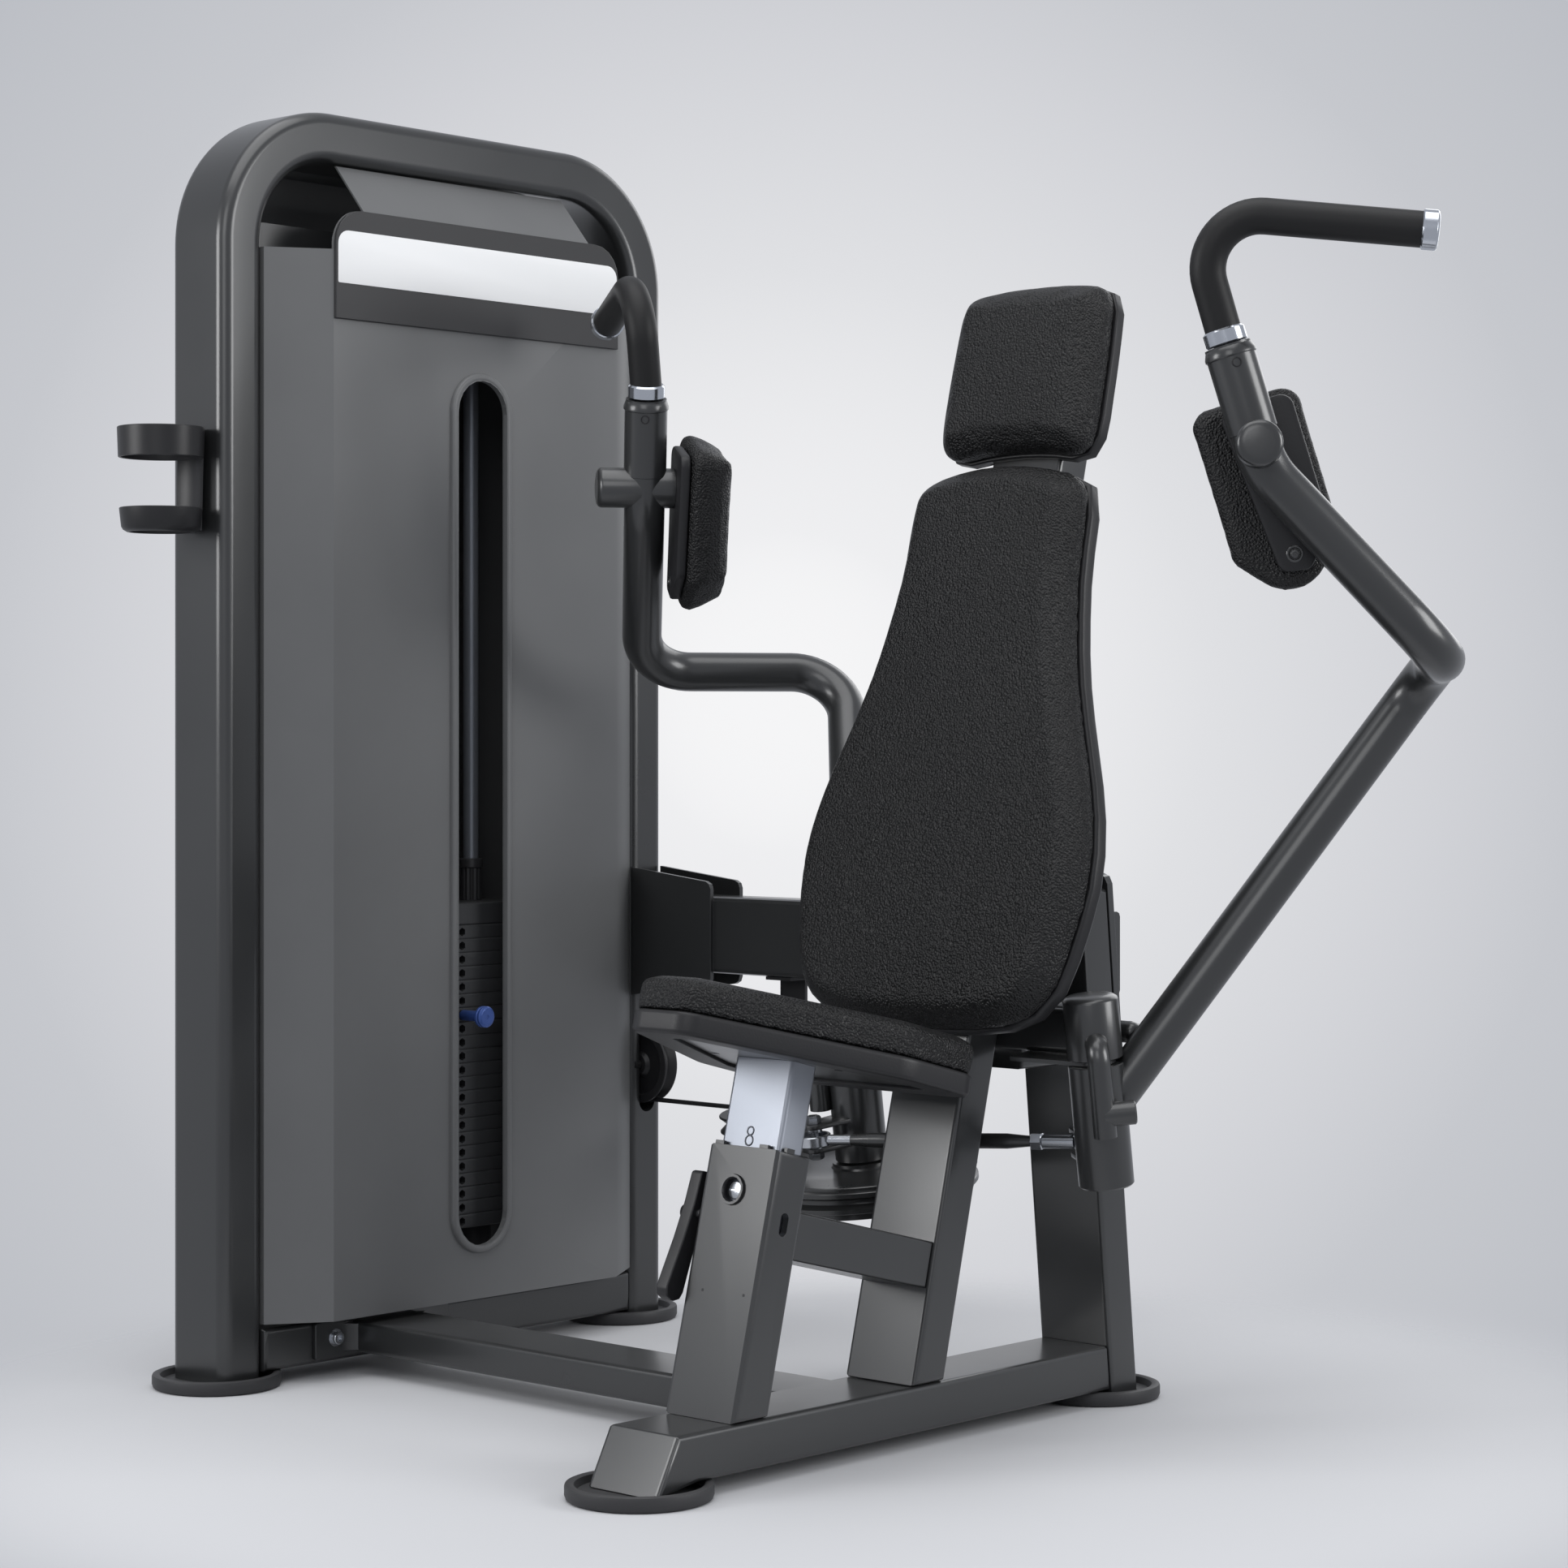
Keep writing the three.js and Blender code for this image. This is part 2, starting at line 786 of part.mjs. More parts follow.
function frontShroud() {
  const folded = foldedSheet(frontShroudX, frontFoldX, shroudLow, placardTop);
  const slope = drawnOut('y', [
    [frontShroudX, placardTop - slack], [frontShroudX - sheet, placardTop - slack],
    [slopeTopX - sheet, slopeTopZ], [slopeTopX, slopeTopZ],
  ], -slopeHalf, slopeHalf);
  const opening = drawnOut('x', stadium(0, windowLow, windowHigh, windowHalf),
    frontShroudX - sheet - overrun, frontShroudX + overrun);
  const rim = drawnOut('x', stadium(0, windowLow - windowRim, windowHigh + windowRim, windowHalf + windowRim),
    frontShroudX - sheet, frontShroudX + windowLip, windowLip / 2);
  return cut(join(cut(folded, ...shoulderRoom()), slope, rim), opening);
}

function rearShroud() {
  return cut(foldedSheet(rearShroudX, rearFoldX, shroudLow, slopeTopZ), ...shoulderRoom());
}

function placardBoard() {
  const plate = drawnOut('x', roundedOutline([
    [-shroudFlat, placardLow, 0], [shroudFlat, placardLow, 0],
    [shroudFlat, placardTop, placardCorner], [-shroudFlat, placardTop, placardCorner],
  ], bendSteps), frontShroudX + gap, frontShroudX + gap + placardThick);
  return plate;
}

// Weight stack: plates lie face to face, with a chamfer round each
const halfPlate = plateWide / 2;
const stackTop = stackLow + plateCount * platePitch;
const liftedLow = stackTop - liftedCount * platePitch;
const plateFront = towerX + halfPlate;

function weightPlate(low, thick) {
  const outline = [
    [towerX - halfPlate, -plateLong / 2], [towerX + halfPlate, -plateLong / 2],
    [towerX + halfPlate, plateLong / 2], [towerX - halfPlate, plateLong / 2],
  ];
  const drawn = inset(outline, plateChamfer);
  const ring = (points, z) => points.map(([x, y]) => [x, y, z]);
  return skinned([
    ring(drawn, low), ring(outline, low + plateChamfer),
    ring(outline, low + thick - plateChamfer), ring(drawn, low + thick),
  ], [towerX, 0, low], [towerX, 0, low + thick]);
}

function rodHoles(low, high) {
  return [-1, 1].map((side) => roundBar([towerX, side * rodSpacing, low - overrun],
    [towerX, side * rodSpacing, high + overrun], rodRadius + slack, 12));
}

function plateStack(count, low) {
  let stack = weightPlate(low, platePitch);
  for (let k = 1; k < count; k += 1) stack = stack.add(weightPlate(low + k * platePitch, platePitch));
  const high = low + count * platePitch;
  const bore = roundBar([towerX, 0, low - overrun], [towerX, 0, high + overrun], stemRadius + slack, 12);
  stack = cut(stack, bore, ...rodHoles(low, high));
  for (let k = 0; k < count; k += 1) {
    const z = low + (k + 0.5) * platePitch;
    stack = cut(stack, roundBar([plateFront - pinHoleDepth - overrun, 0, z], [plateFront + overrun, 0, z], pinHole, 6));
  }
  return stack;
}

function topPlate() {
  const plate = weightPlate(stackTop + 2 * gap, topPlateThick);
  const stemLow = stackLow + stemEnd;
  let stem = roundBar([towerX, 0, stemLow], [towerX, 0, stackTop + topPlateThick / 2], stemRadius, 8);
  for (let k = 1; k < plateCount; k += 1) {
    const z = stackLow + (k + 0.5) * platePitch;
    stem = cut(stem, roundBar([towerX - stemRadius - overrun, 0, z], [towerX + stemRadius + overrun, 0, z], stemHole, 4));
  }
  return join(cut(plate, ...rodHoles(stackTop, stackTop + topPlateThick)), stem);
}

function stackBush() {
  const low = stackTop + topPlateThick + 3 * gap;
  const rib = bushHigh / (2 * bushRibs);
  const profile = [[0, low]];
  for (let k = 0; k < bushRibs; k += 1) {
    const z = low + 2 * k * rib;
    profile.push([bushRadius, z], [bushRadius, z + rib], [bushRadius - bushGroove, z + rib]);
    profile.push([bushRadius - bushGroove, z + 2 * rib]);
  }
  profile.push([cableRadius, low + bushHigh], [0, low + bushHigh]);
  const bush = turned(profile, 10);
  return bush.translate([towerX, 0, 0]);
}

function selectorPin() {
  const z = liftedLow + 0.5 * platePitch;
  const knobFace = plateFront + pinReach;
  const shaft = roundBar([towerX - pinTip, 0, z], [knobFace - pinKnobThick / 2, 0, z], pinRadius, 12);
  const collar = roundBar([plateFront + slack, 0, z], [knobFace - pinKnobThick / 2, 0, z], pinRadius + 2 * slack, 12);
  const knob = roundBar([knobFace - pinKnobThick, 0, z], [knobFace - 2 * slack, 0, z], pinKnobRadius);
  const face = roundBar([knobFace - 2 * slack, 0, z], [knobFace, 0, z], pinKnobRadius, roundSides, pinKnobRadius - 2 * slack);
  return join(shaft, collar, knob, face);
}

function stackBumper(side) {
  const inner = rodRadius + slack / 2;
  const low = tubeLow + tubeHigh + gap;
  const high = stackLow - gap;
  const ring = turned([
    [inner, low], [bumperRadius, low], [bumperRadius, high - footBevel], [bumperRadius - footBevel, high],
    [inner, high], [inner, low],
  ], 14);
  return ring.translate([towerX, side * rodSpacing, 0]);
}

// Cross member with the two top pulleys' axles
const outerPulleyY = legY - pulleyPitch;
const centrePulleyY = pulleyPitch;

function spacedAxle(centre, direction, half) {
  const from = centre.clone().addScaledVector(direction, -half);
  const to = centre.clone().addScaledVector(direction, half);
  const axle = roundBar(from.toArray(), to.toArray(), axleRadius, 12);
  const collars = [-1, 1].map((side) => roundBar(
    centre.clone().addScaledVector(direction, side * (pulleyWide / 2 + gap)).toArray(),
    centre.clone().addScaledVector(direction, side * half).toArray(), pulleyHub - slack, 10));
  return join(axle, ...collars);
}

function topCrossMember() {
  const half = channelWide / 2;
  const end = legInner - gap;
  const outer = drawnOut('x', [
    [-end, channelLow], [end, channelLow], [end, channelShoulder], [end - channelCut, channelTop],
    [-end + channelCut, channelTop], [-end, channelShoulder],
  ], towerX - half, towerX + half);
  const inside = block(towerX - half + channelWall, towerX + half - channelWall, -legInner - overrun,
    legInner + overrun, channelLow - overrun, channelTop - channelWall);
  const along = new THREE.Vector3(1, 0, 0);
  const axles = [outerPulleyY, centrePulleyY].map((y) => spacedAxle(
    new THREE.Vector3(towerX, y, topPulleyZ), along, half - channelWall / 2));
  return join(cut(outer, inside), ...axles);
}

function rodTopBar() {
  const bar = block(towerX - rodBarWide / 2, towerX + rodBarWide / 2, -legInner + gap, legInner - gap,
    rodTop, rodTop + rodBarThick);
  const passage = roundBar([towerX, 0, rodTop - overrun], [towerX, 0, rodTop + rodBarThick + overrun], 3 * cableRadius);
  return cut(bar, passage);
}

// A grooved pulley about Z, centred on its own middle
function pulleyWheel() {
  const half = pulleyWide / 2;
  const bore = axleRadius + gap;
  const floor = pulleyPitch - cableRadius - gap;
  const rimInner = pulleyRim - pulleyRimWall - cableRadius;
  return turned([
    [bore, -half], [pulleyHub, -half], [(pulleyHub + rimInner) / 2, -half + pulleyWeb], [rimInner, -half],
    [pulleyRim, -half], [floor, -cableRadius], [floor, cableRadius], [pulleyRim, half], [rimInner, half],
    [(pulleyHub + rimInner) / 2, half - pulleyWeb], [pulleyHub, half], [bore, half], [bore, -half],
  ], pulleySides);
}

function addPulley(name, centre, direction) {
  const mesh = addPart(name, pulleyWheel(), blackPlastic);
  mesh.position.copy(centre);
  mesh.quaternion.setFromUnitVectors(new THREE.Vector3(0, 0, 1), direction);
}

// Cable wheel's plane and the redirect pulley in it
const sideways = new THREE.Vector3(1, 0, 0);
const backwards = new THREE.Vector3(0, Math.cos(pivotAngle), Math.sin(pivotAngle));
const pivotAxis = new THREE.Vector3(0, -Math.sin(pivotAngle), Math.cos(pivotAngle));
const wheelMiddle = wheelTop - wheelThick / 2;
const wheelCentre = new THREE.Vector3(-pivotX, pivotY, pivotZ).addScaledVector(pivotAxis, wheelMiddle);
const redirectBack = (legY - wheelCentre.y) / backwards.y - pulleyPitch;
const redirectCentre = wheelCentre.clone().addScaledVector(backwards, redirectBack);
redirectCentre.x = redirectX;
const cableLevel = wheelCentre.z + backwards.z * (redirectBack + pulleyPitch);
const lowPulleyX = towerX + pulleyPitch;
const lowPulleyZ = cableLevel + pulleyPitch;

// The cable crosses from the outer side of the redirect pulley to the inner side of the wheel
const spanX = wheelCentre.x - redirectX;
const spanBack = -redirectBack;
const spanLength = Math.hypot(spanX, spanBack);
const crossing = Math.asin((wheelPitch + pulleyPitch) / spanLength);
const runAngle = Math.atan2(spanBack, spanX) - crossing;
const leaveAngle = runAngle + Math.PI / 2;

function cableRun() {
  const upright = new THREE.Vector3(0, 0, 1);
  const outwards = new THREE.Vector3(0, 1, 0);
  const meet = arcPoints(wheelCentre, wheelPitch + slack, leaveAngle - Math.PI, leaveAngle - Math.PI, sideways, backwards, 1);
  const low = new THREE.Vector3(lowPulleyX, legY, lowPulleyZ);
  const outer = new THREE.Vector3(towerX, outerPulleyY, topPulleyZ);
  const centre = new THREE.Vector3(towerX, centrePulleyY, topPulleyZ);
  const quarter = Math.PI / 2;
  return tube([
    meet[0],
    ...arcPoints(redirectCentre, pulleyPitch, leaveAngle, quarter, sideways, backwards, 10),
    ...arcPoints(low, pulleyPitch, -quarter, -2 * quarter, sideways, upright, 8),
    ...arcPoints(outer, pulleyPitch, 0, quarter, outwards, upright, 8),
    ...arcPoints(centre, pulleyPitch, quarter, 2 * quarter, outwards, upright, 8),
  ], cableRadius, 6);
}

function cableDrop() {
  const low = stackTop + topPlateThick + bushHigh + 3 * gap + dropGap;
  return roundBar([towerX, 0, low], [towerX, 0, topPulleyZ - dropGap], cableRadius, 8);
}

function redirectBracket() {
  const half = pulleyWide / 2 + 2 * slack + channelWall;
  const axle = spacedAxle(redirectCentre, pivotAxis, half - channelWall / 2);
  const local = new THREE.Group();
  local.position.copy(redirectCentre);
  local.rotation.x = pivotAngle;
  local.updateMatrix();
  const arm = pulleyHub + slack;
  const cheeks = [-1, 1].map((side) => {
    const face = side * (half - channelWall);
    const [low, high] = side < 0 ? [face - channelWall, face] : [face, face + channelWall];
    const tongue = drawnOut('z', roundedOutline([
      [-arm, -arm, arm / 2], [arm, -arm, arm / 2], [2 * arm, pulleyRim + 4 * slack, 0], [-arm, pulleyRim + 4 * slack, 0],
    ]), low, high);
    return outOfGroup(tongue, local);
  });
  const reach = redirectCentre.y + (pulleyRim + 3 * slack) * backwards.y;
  const strap = block(redirectX - arm, redirectX + 2 * arm, reach, reach + channelWall + slack,
    redirectCentre.z - half, beamLow - gap);
  const foot = block(redirectX - arm, redirectX + 2 * arm, beamFrontY + tubeEdge, reach + channelWall + slack,
    beamLow - gap - channelWall, beamLow - gap);
  return join(axle, ...cheeks, strap, foot);
}

// Floor tubes

function towerBaseTube() {
  return drawnOut('x', roundedOutline([
    [-legInner + gap, tubeLow, 0], [legInner - gap, tubeLow, 0],
    [legInner - gap, tubeLow + tubeHigh, 0], [-legInner + gap, tubeLow + tubeHigh, 0],
  ]), legBack, legFront, tubeEdge);
}

function connectingBeam() {
  const middle = (connectFront + connectBack) / 2;
  const start = legFront + gap;
  const beam = drawnOut('x', roundedOutline([
    [connectFront, connectLow, tubeEdge], [connectBack, connectLow, tubeEdge],
    [connectBack, connectTop, tubeEdge], [connectFront, connectTop, tubeEdge],
  ]), start, -postHalf - gap);
  const tee = drawnOut('x', roundedOutline([
    [middle - teeHalf, teeLow, tubeEdge / 2], [middle + teeHalf, teeLow, tubeEdge / 2],
    [middle + teeHalf, teeTop, tubeEdge / 2], [middle - teeHalf, teeTop, tubeEdge / 2],
  ]), start, start + teeThick);
  const flare = drawnOut('z', [
    [start + teeThick - slack, connectFront - 3 * tubeEdge], [start + teeThick + 2 * tubeEdge, connectFront],
    [start + teeThick + 2 * tubeEdge, connectBack], [start + teeThick - slack, connectBack + 3 * tubeEdge],
  ], connectLow + tubeEdge / 2, connectTop - tubeEdge / 2);
  return join(beam, tee, flare);
}

function seatBaseBeam() {
  const rearTop = rearPostY - gap;
  const rearLow = rearPostY + (baseTop - tubeLow) * rearPostSlope - gap;
  return drawnOut('x', [
    [noseTopY, baseTop], [noseFootY, noseFootZ + gap], [noseHeelY, tubeLow], [rearLow, tubeLow], [rearTop, baseTop],
  ], -postHalf, postHalf, tubeEdge);
}

// Leaning tubes of the seat frame; a front face is so far forward of the upright's own

function leaningTube(front, deep, topUp, half, edge) {
  const foot = baseTop + gap;
  return drawnOut('x', [
    leanAtHeight(front, foot), leanPoint(front, topUp), leanPoint(front - deep, topUp),
    leanAtHeight(front - deep, foot),
  ], -half, half, edge);
}

const innerFront = seatPostFront - innerRecess;
const innerBack = innerFront - innerDeep;

function leaningBlock(half, back, front, low, high) {
  return drawnOut('x', [
    leanPoint(back, low), leanPoint(front, low), leanPoint(front, high), leanPoint(back, high),
  ], -half, half);
}

function seatPostOuter() {
  const post = leaningTube(seatPostFront, postDeep, seatPostTop, postHalf, tubeEdge);
  const hollow = leaningBlock(innerHalf + slack, innerBack - slack, innerFront + slack, cavityLow, seatPostTop + overrun);
  const bore = bushAt(seatPostFront - innerRecess - overrun, seatPostFront + overrun, postBore - bushLip);
  const lip = bushAt(seatPostFront - innerRecess / 2, seatPostFront + bushLip, postBore);
  const slot = drawnOut('x', stadium(0, -slotHigh / 2, slotHigh / 2, slotHalf).map(([a, b]) => leanPoint(slotForward - a, slotAt + b)),
    innerHalf, postHalf + overrun);
  const tabs = [[-innerHalf + postTab, innerFront + postTab], [innerHalf - 4 * postTab, innerFront + postTab],
    [innerHalf + postTab, innerFront - 3 * postTab]].map(([x, forward]) => {
    const [wide, deep] = x > innerHalf ? [postTab, 3 * postTab] : [3 * postTab, postTab];
    return drawnOut('x', [
      leanPoint(forward - deep / 2, seatPostTop - postTab), leanPoint(forward + deep / 2, seatPostTop - postTab),
      leanPoint(forward + deep / 2, seatPostTop + postTab), leanPoint(forward - deep / 2, seatPostTop + postTab),
    ], x - wide / 2, x + wide / 2);
  });
  return join(cut(join(cut(post, hollow), lip), bore, hollow, slot), ...tabs);
}

function bushAt(back, front, radius) {
  const [y0, z0] = leanPoint(back, postBoreAt);
  const [y1, z1] = leanPoint(front, postBoreAt);
  return roundBar([postBoreX, y0, z0], [postBoreX, y1, z1], radius);
}

function backUpright() {
  return leaningTube(0, postDeep, uprightTop, postHalf, tubeEdge);
}

function postBrace() {
  return drawnOut('x', [
    leanPoint(gap, braceLow), leanPoint(seatPostFront - postDeep - gap, braceLow),
    leanPoint(seatPostFront - postDeep - gap, braceHigh), leanPoint(gap, braceHigh),
  ], -braceHalf, braceHalf, tubeEdge / 2);
}

function rearFront(z) {
  return rearPostY - (z - baseTop) * rearPostSlope;
}

function rearPost() {
  const post = drawnOut('x', [
    [rearFront(rearPostFoot + gap), rearPostFoot + gap], [rearFront(rearPostTop), rearPostTop],
    [rearFront(rearPostTop) + postDeep, rearPostTop],
    [rearFront(rearPostFoot + gap) + postDeep, rearPostFoot + gap],
  ], -postHalf, postHalf, tubeEdge);
  const plate = block(-postHalf, postHalf, 0, backPlateThick + slack, 0, backPlateTop - backPlateLow);
  const corner = 2 * tubeEdge;
  const rounded = drawnOut('y', roundedOutline([
    [-postHalf, 0, 0], [postHalf, 0, 0], [postHalf, backPlateTop - backPlateLow, corner],
    [-postHalf, backPlateTop - backPlateLow, corner],
  ]), -overrun, backPlateThick + overrun);
  const leant = new THREE.Group();
  leant.position.set(0, rearFront(backPlateLow) + postDeep - slack, backPlateLow);
  leant.rotation.x = Math.atan(rearPostSlope);
  leant.updateMatrix();
  const backPlate = outOfGroup(plate.intersect(rounded), leant);
  const wedge = drawnOut('x', [
    [rearFront(beamLow) + postDeep, beamLow], [beamFrontY - gap, beamLow], [beamFrontY - gap, beamTop],
    [rearFront(beamTop) + postDeep, beamTop],
  ], -postHalf, beamEnd);
  return join(post, backPlate, wedge);
}

// Pivot yoke: a cross bar behind the upright, a stub to the rear post and one fixed shaft on each side

const armLine = vector(elbow).sub(vector(armFoot)).normalize();

const armAtStop = vector(armFoot).addScaledVector(armLine, (stopHeight - armFoot[2]) / armLine.z);
const stopY = armAtStop.y + stopBehind;
const stopTabBack = stopY + stopBumper + stopTabWall;

// Where a domed bumper just reaches the resting arm tube
function bumperTip() {
  const at = armAtStop;
  const dy = stopBehind;
  const reach = armTube + stopBumper + 2 * gap;
  const a = 1 - armLine.x ** 2;
  const b = -2 * dy * armLine.x * armLine.y;
  const c = dy * dy * (1 - armLine.y ** 2) - reach ** 2;
  return at.x + (-b - Math.sqrt(b * b - 4 * a * c)) / (2 * a);
}

function pivotYoke() {
  const bar = drawnOut('x', roundedOutline([
    [yokeFront, yokeLow, tubeEdge], [yokeBack, yokeLow, tubeEdge],
    [yokeBack, yokeTop, tubeEdge], [yokeFront, yokeTop, tubeEdge],
  ]), -yokeHalf, yokeHalf);
  const stub = drawnOut('x', [
    [yokeBack - overrun, stubLow], [rearFront(stubLow) - gap, stubLow], [rearFront(yokeTop) - gap, yokeTop],
    [yokeBack - overrun, yokeTop],
  ], -postHalf, postHalf, tubeEdge);
  const sides = [1, -1].map((side) => {
    const group = side > 0 ? pivots.right : pivots.left;
    const low = pivotSplit + slack;
    const high = pivotSplit + splitGap - slack;
    const inner = side > 0 ? -yokePlateInner : yokePlateInner;
    const plate = drawnOut('z', roundedOutline([
      [Math.min(inner, 0), -yokePlateHalf, 0], [Math.max(inner, 0), -yokePlateHalf, 0],
      [Math.max(inner, 0), yokePlateHalf, 0], [Math.min(inner, 0), yokePlateHalf, 0],
    ]), low, high);
    const eye = turned([[0, low], [yokePlateHalf, low], [yokePlateHalf, high], [0, high]]);
    const shaft = turned([[0, shaftLow], [shaftRadius, shaftLow], [shaftRadius, shaftTop], [0, shaftTop]]);
    const carrier = outOfGroup(join(plate, eye, shaft), group);
    const webFoot = pivotZ + low * Math.cos(pivotAngle);
    const web = block(Math.min(side * yokePlateInner * 0.8, side * yokeHalf), Math.max(side * yokePlateInner * 0.8, side * yokeHalf),
      yokeFront + tubeEdge, yokeBack - 2 * tubeEdge, webFoot, yokeLow + tubeEdge);
    const tab = block(Math.min(side * stopTabStart, side * stopTabEnd), Math.max(side * stopTabStart, side * stopTabEnd),
      yokeBack - overrun, stopTabBack, stopHeight - stopTabHalf, stopHeight + stopTabHalf);
    const tip = bumperTip();
    const rubberStop = roundBar([side * (stopTabEnd - slack), stopY, stopHeight], [side * tip, stopY, stopHeight], stopBumper, 12);
    const dome = new THREE.SphereGeometry(stopBumper, 12, 6);
    dome.translate(side * tip, stopY, stopHeight);
    return join(carrier, web, tab, rubberStop, solidOf(dome));
  });
  return join(bar, stub, ...sides);
}

// Tie beam along X behind the arms, with a gusset bracket at the tower's leg

function tieBeam() {
  const beam = drawnOut('x', roundedOutline([
    [beamFrontY, beamLow, tubeEdge], [beamBackY, beamLow, tubeEdge],
    [beamBackY, beamTop, tubeEdge], [beamFrontY, beamTop, tubeEdge],
  ]), legFront + gap, beamEnd);
  const wings = [[beamFrontY - wingThick, beamFrontY + slack], [beamBackY - slack, beamBackY + wingThick]].map(([low, high]) => (
    drawnOut('y', roundedOutline([
      [legFront + gap, wingLowZ, 0], [wingEndX, wingLowEndZ, wingCut], [wingEndX, wingTopEndZ, wingCut],
      [legFront + gap, wingTopZ, 0],
    ]), low, high)));
  return join(beam, ...wings);
}

// Pads

// Outer edge of the back pad from the middle of its lower edge to the middle of its top,
// as shares of its half width and height
const backEdgeShares = [
  [0, 0], [0.36, 0.004], [0.63, 0.017], [0.8, 0.047], [0.9, 0.097], [0.948, 0.159], [1, 0.253], [0.983, 0.346],
  [0.908, 0.44], [0.803, 0.534], [0.713, 0.627], [0.653, 0.721], [0.613, 0.814], [0.603, 0.908], [0.575, 0.955],
  [0.45, 0.98], [0.22, 0.995], [0, 1],
];
const headEdgeShares = [
  [0, 0.035], [0.4, 0.025], [0.75, 0.005], [0.92, 0.04], [0.99, 0.13], [1, 0.4], [0.985, 0.7], [0.96, 0.86],
  [0.85, 0.96], [0.5, 0.99], [0, 1],
];

function mirroredEdge(shares, half, low, high) {
  const right = shares.map(([across, up]) => [across * half, low + up * high]);
  const left = right.slice(1, -1).reverse().map(([across, up]) => [-across, up]);
  return [...right, ...left];
}

const backOutline = smoothOutline(mirroredEdge(backEdgeShares, backHalf, backLow, backHigh), 46);
const headOutline = smoothOutline(mirroredEdge(headEdgeShares, headHalf, headLow, headHigh), 32);

// A cushion on an outline: drawn in where it is sewn, a straight wall, a bevel and a crowned face.
// place turns [a, b] of the outline and a height into a point
function cushion(outline, low, wall, face, bevel, place) {
  const ring = (points, height) => points.map(([a, b]) => place(a, b, height));
  const top = inset(outline, bevel);
  const crown = scaledAbout(top, padCrownShare);
  const [ca, cb] = centreOf(crown);
  return skinned([
    ring(inset(outline, padDraw), low), ring(inset(outline, padDraw / 4), low + wall / 3), ring(outline, low + (2 * wall) / 3),
    ring(inset(outline, padDraw / 2), low + wall), ring(inset(outline, bevel / 2), (low + wall) / 3 + (2 * face) / 3),
    ring(top, face), ring(crown, face + padCrown),
  ], place(ca, cb, low), place(ca, cb, face + 1.3 * padCrown));
}

const onLean = (across, up, forward) => [across, -forward, up];

function backrestBoard() {
  return drawnOut('y', backOutline, -shellFront, -gap, shellEdge);
}

function headrestBoard() {
  const shell = drawnOut('y', headOutline, -headShellFront, -headShellBack, shellEdge / 2);
  const pocket = block(-postHalf - slack, postHalf + slack, -gap, -headShellBack + overrun, headLow - overrun, uprightTop + slack);
  return cut(shell, pocket);
}

// Seat

const seatCorners = [
  [-seatHalf, seatRear, seatRearCorner], [seatHalf, seatRear, seatRearCorner],
  [seatHalf, seatShoulder, seatShoulderBend], [noseHalf, seatNose, seatNoseBend],
  [-noseHalf, seatNose, seatNoseBend], [-seatHalf, seatShoulder, seatShoulderBend],
];

// The seat's outline drawn in by a distance, its corners rounded after that
function seatOutlineAt(distance) {
  return roundedOutline(inset(seatCorners, distance).map(([a, b], i) => (
    [a, b, Math.max(seatCorners[i][2] - distance, seatLeastCorner)])), bendSteps);
}

const seatOutline = seatOutlineAt(0);
const seatFace = seatUnder + seatRimHigh + seatPadHigh;
const onSeat = (across, forward, up) => [across, -forward, up];
const seatUnderside = (distance) => seatOutlineAt(distance).map(([a, b]) => [a, -b]);

function seatBoard() {
  const rim = drawnOut('z', seatUnderside(0), seatUnder, seatUnder + seatRimHigh, seatRimEdge);
  const recess = drawnOut('z', seatUnderside(recessInset), seatUnder - overrun, seatUnder + recessDeep);
  return cut(rim, recess);
}

function seatPlate() {
  const high = seatUnder + recessDeep - gap;
  const plate = drawnOut('z', seatUnderside(recessInset + slack), high - seatPlateThick, high);
  const middle = -(innerFront + innerBack) / 2;
  const holes = [-1, 1].flatMap((side) => [-1, 1].map((end) => {
    const x = side * (innerHalf + 4 * seatPlateHole);
    const y = middle + end * (innerDeep / 2 + 2 * seatPlateHole);
    return roundBar([x, y, high - overrun - seatPlateThick], [x, y, high + overrun], seatPlateHole, 8);
  }));
  return cut(plate, ...holes);
}

function seatPostInner() {
  const top = seatUnder + recessDeep - 2 * gap - seatPlateThick;
  const section = roundedOutline([
    [-innerHalf, -innerFront, innerEdge], [innerHalf, -innerFront, innerEdge],
    [innerHalf, -innerBack, innerEdge], [-innerHalf, -innerBack, innerEdge],
  ]);
  return drawnOut('z', section, innerLow, top);
}

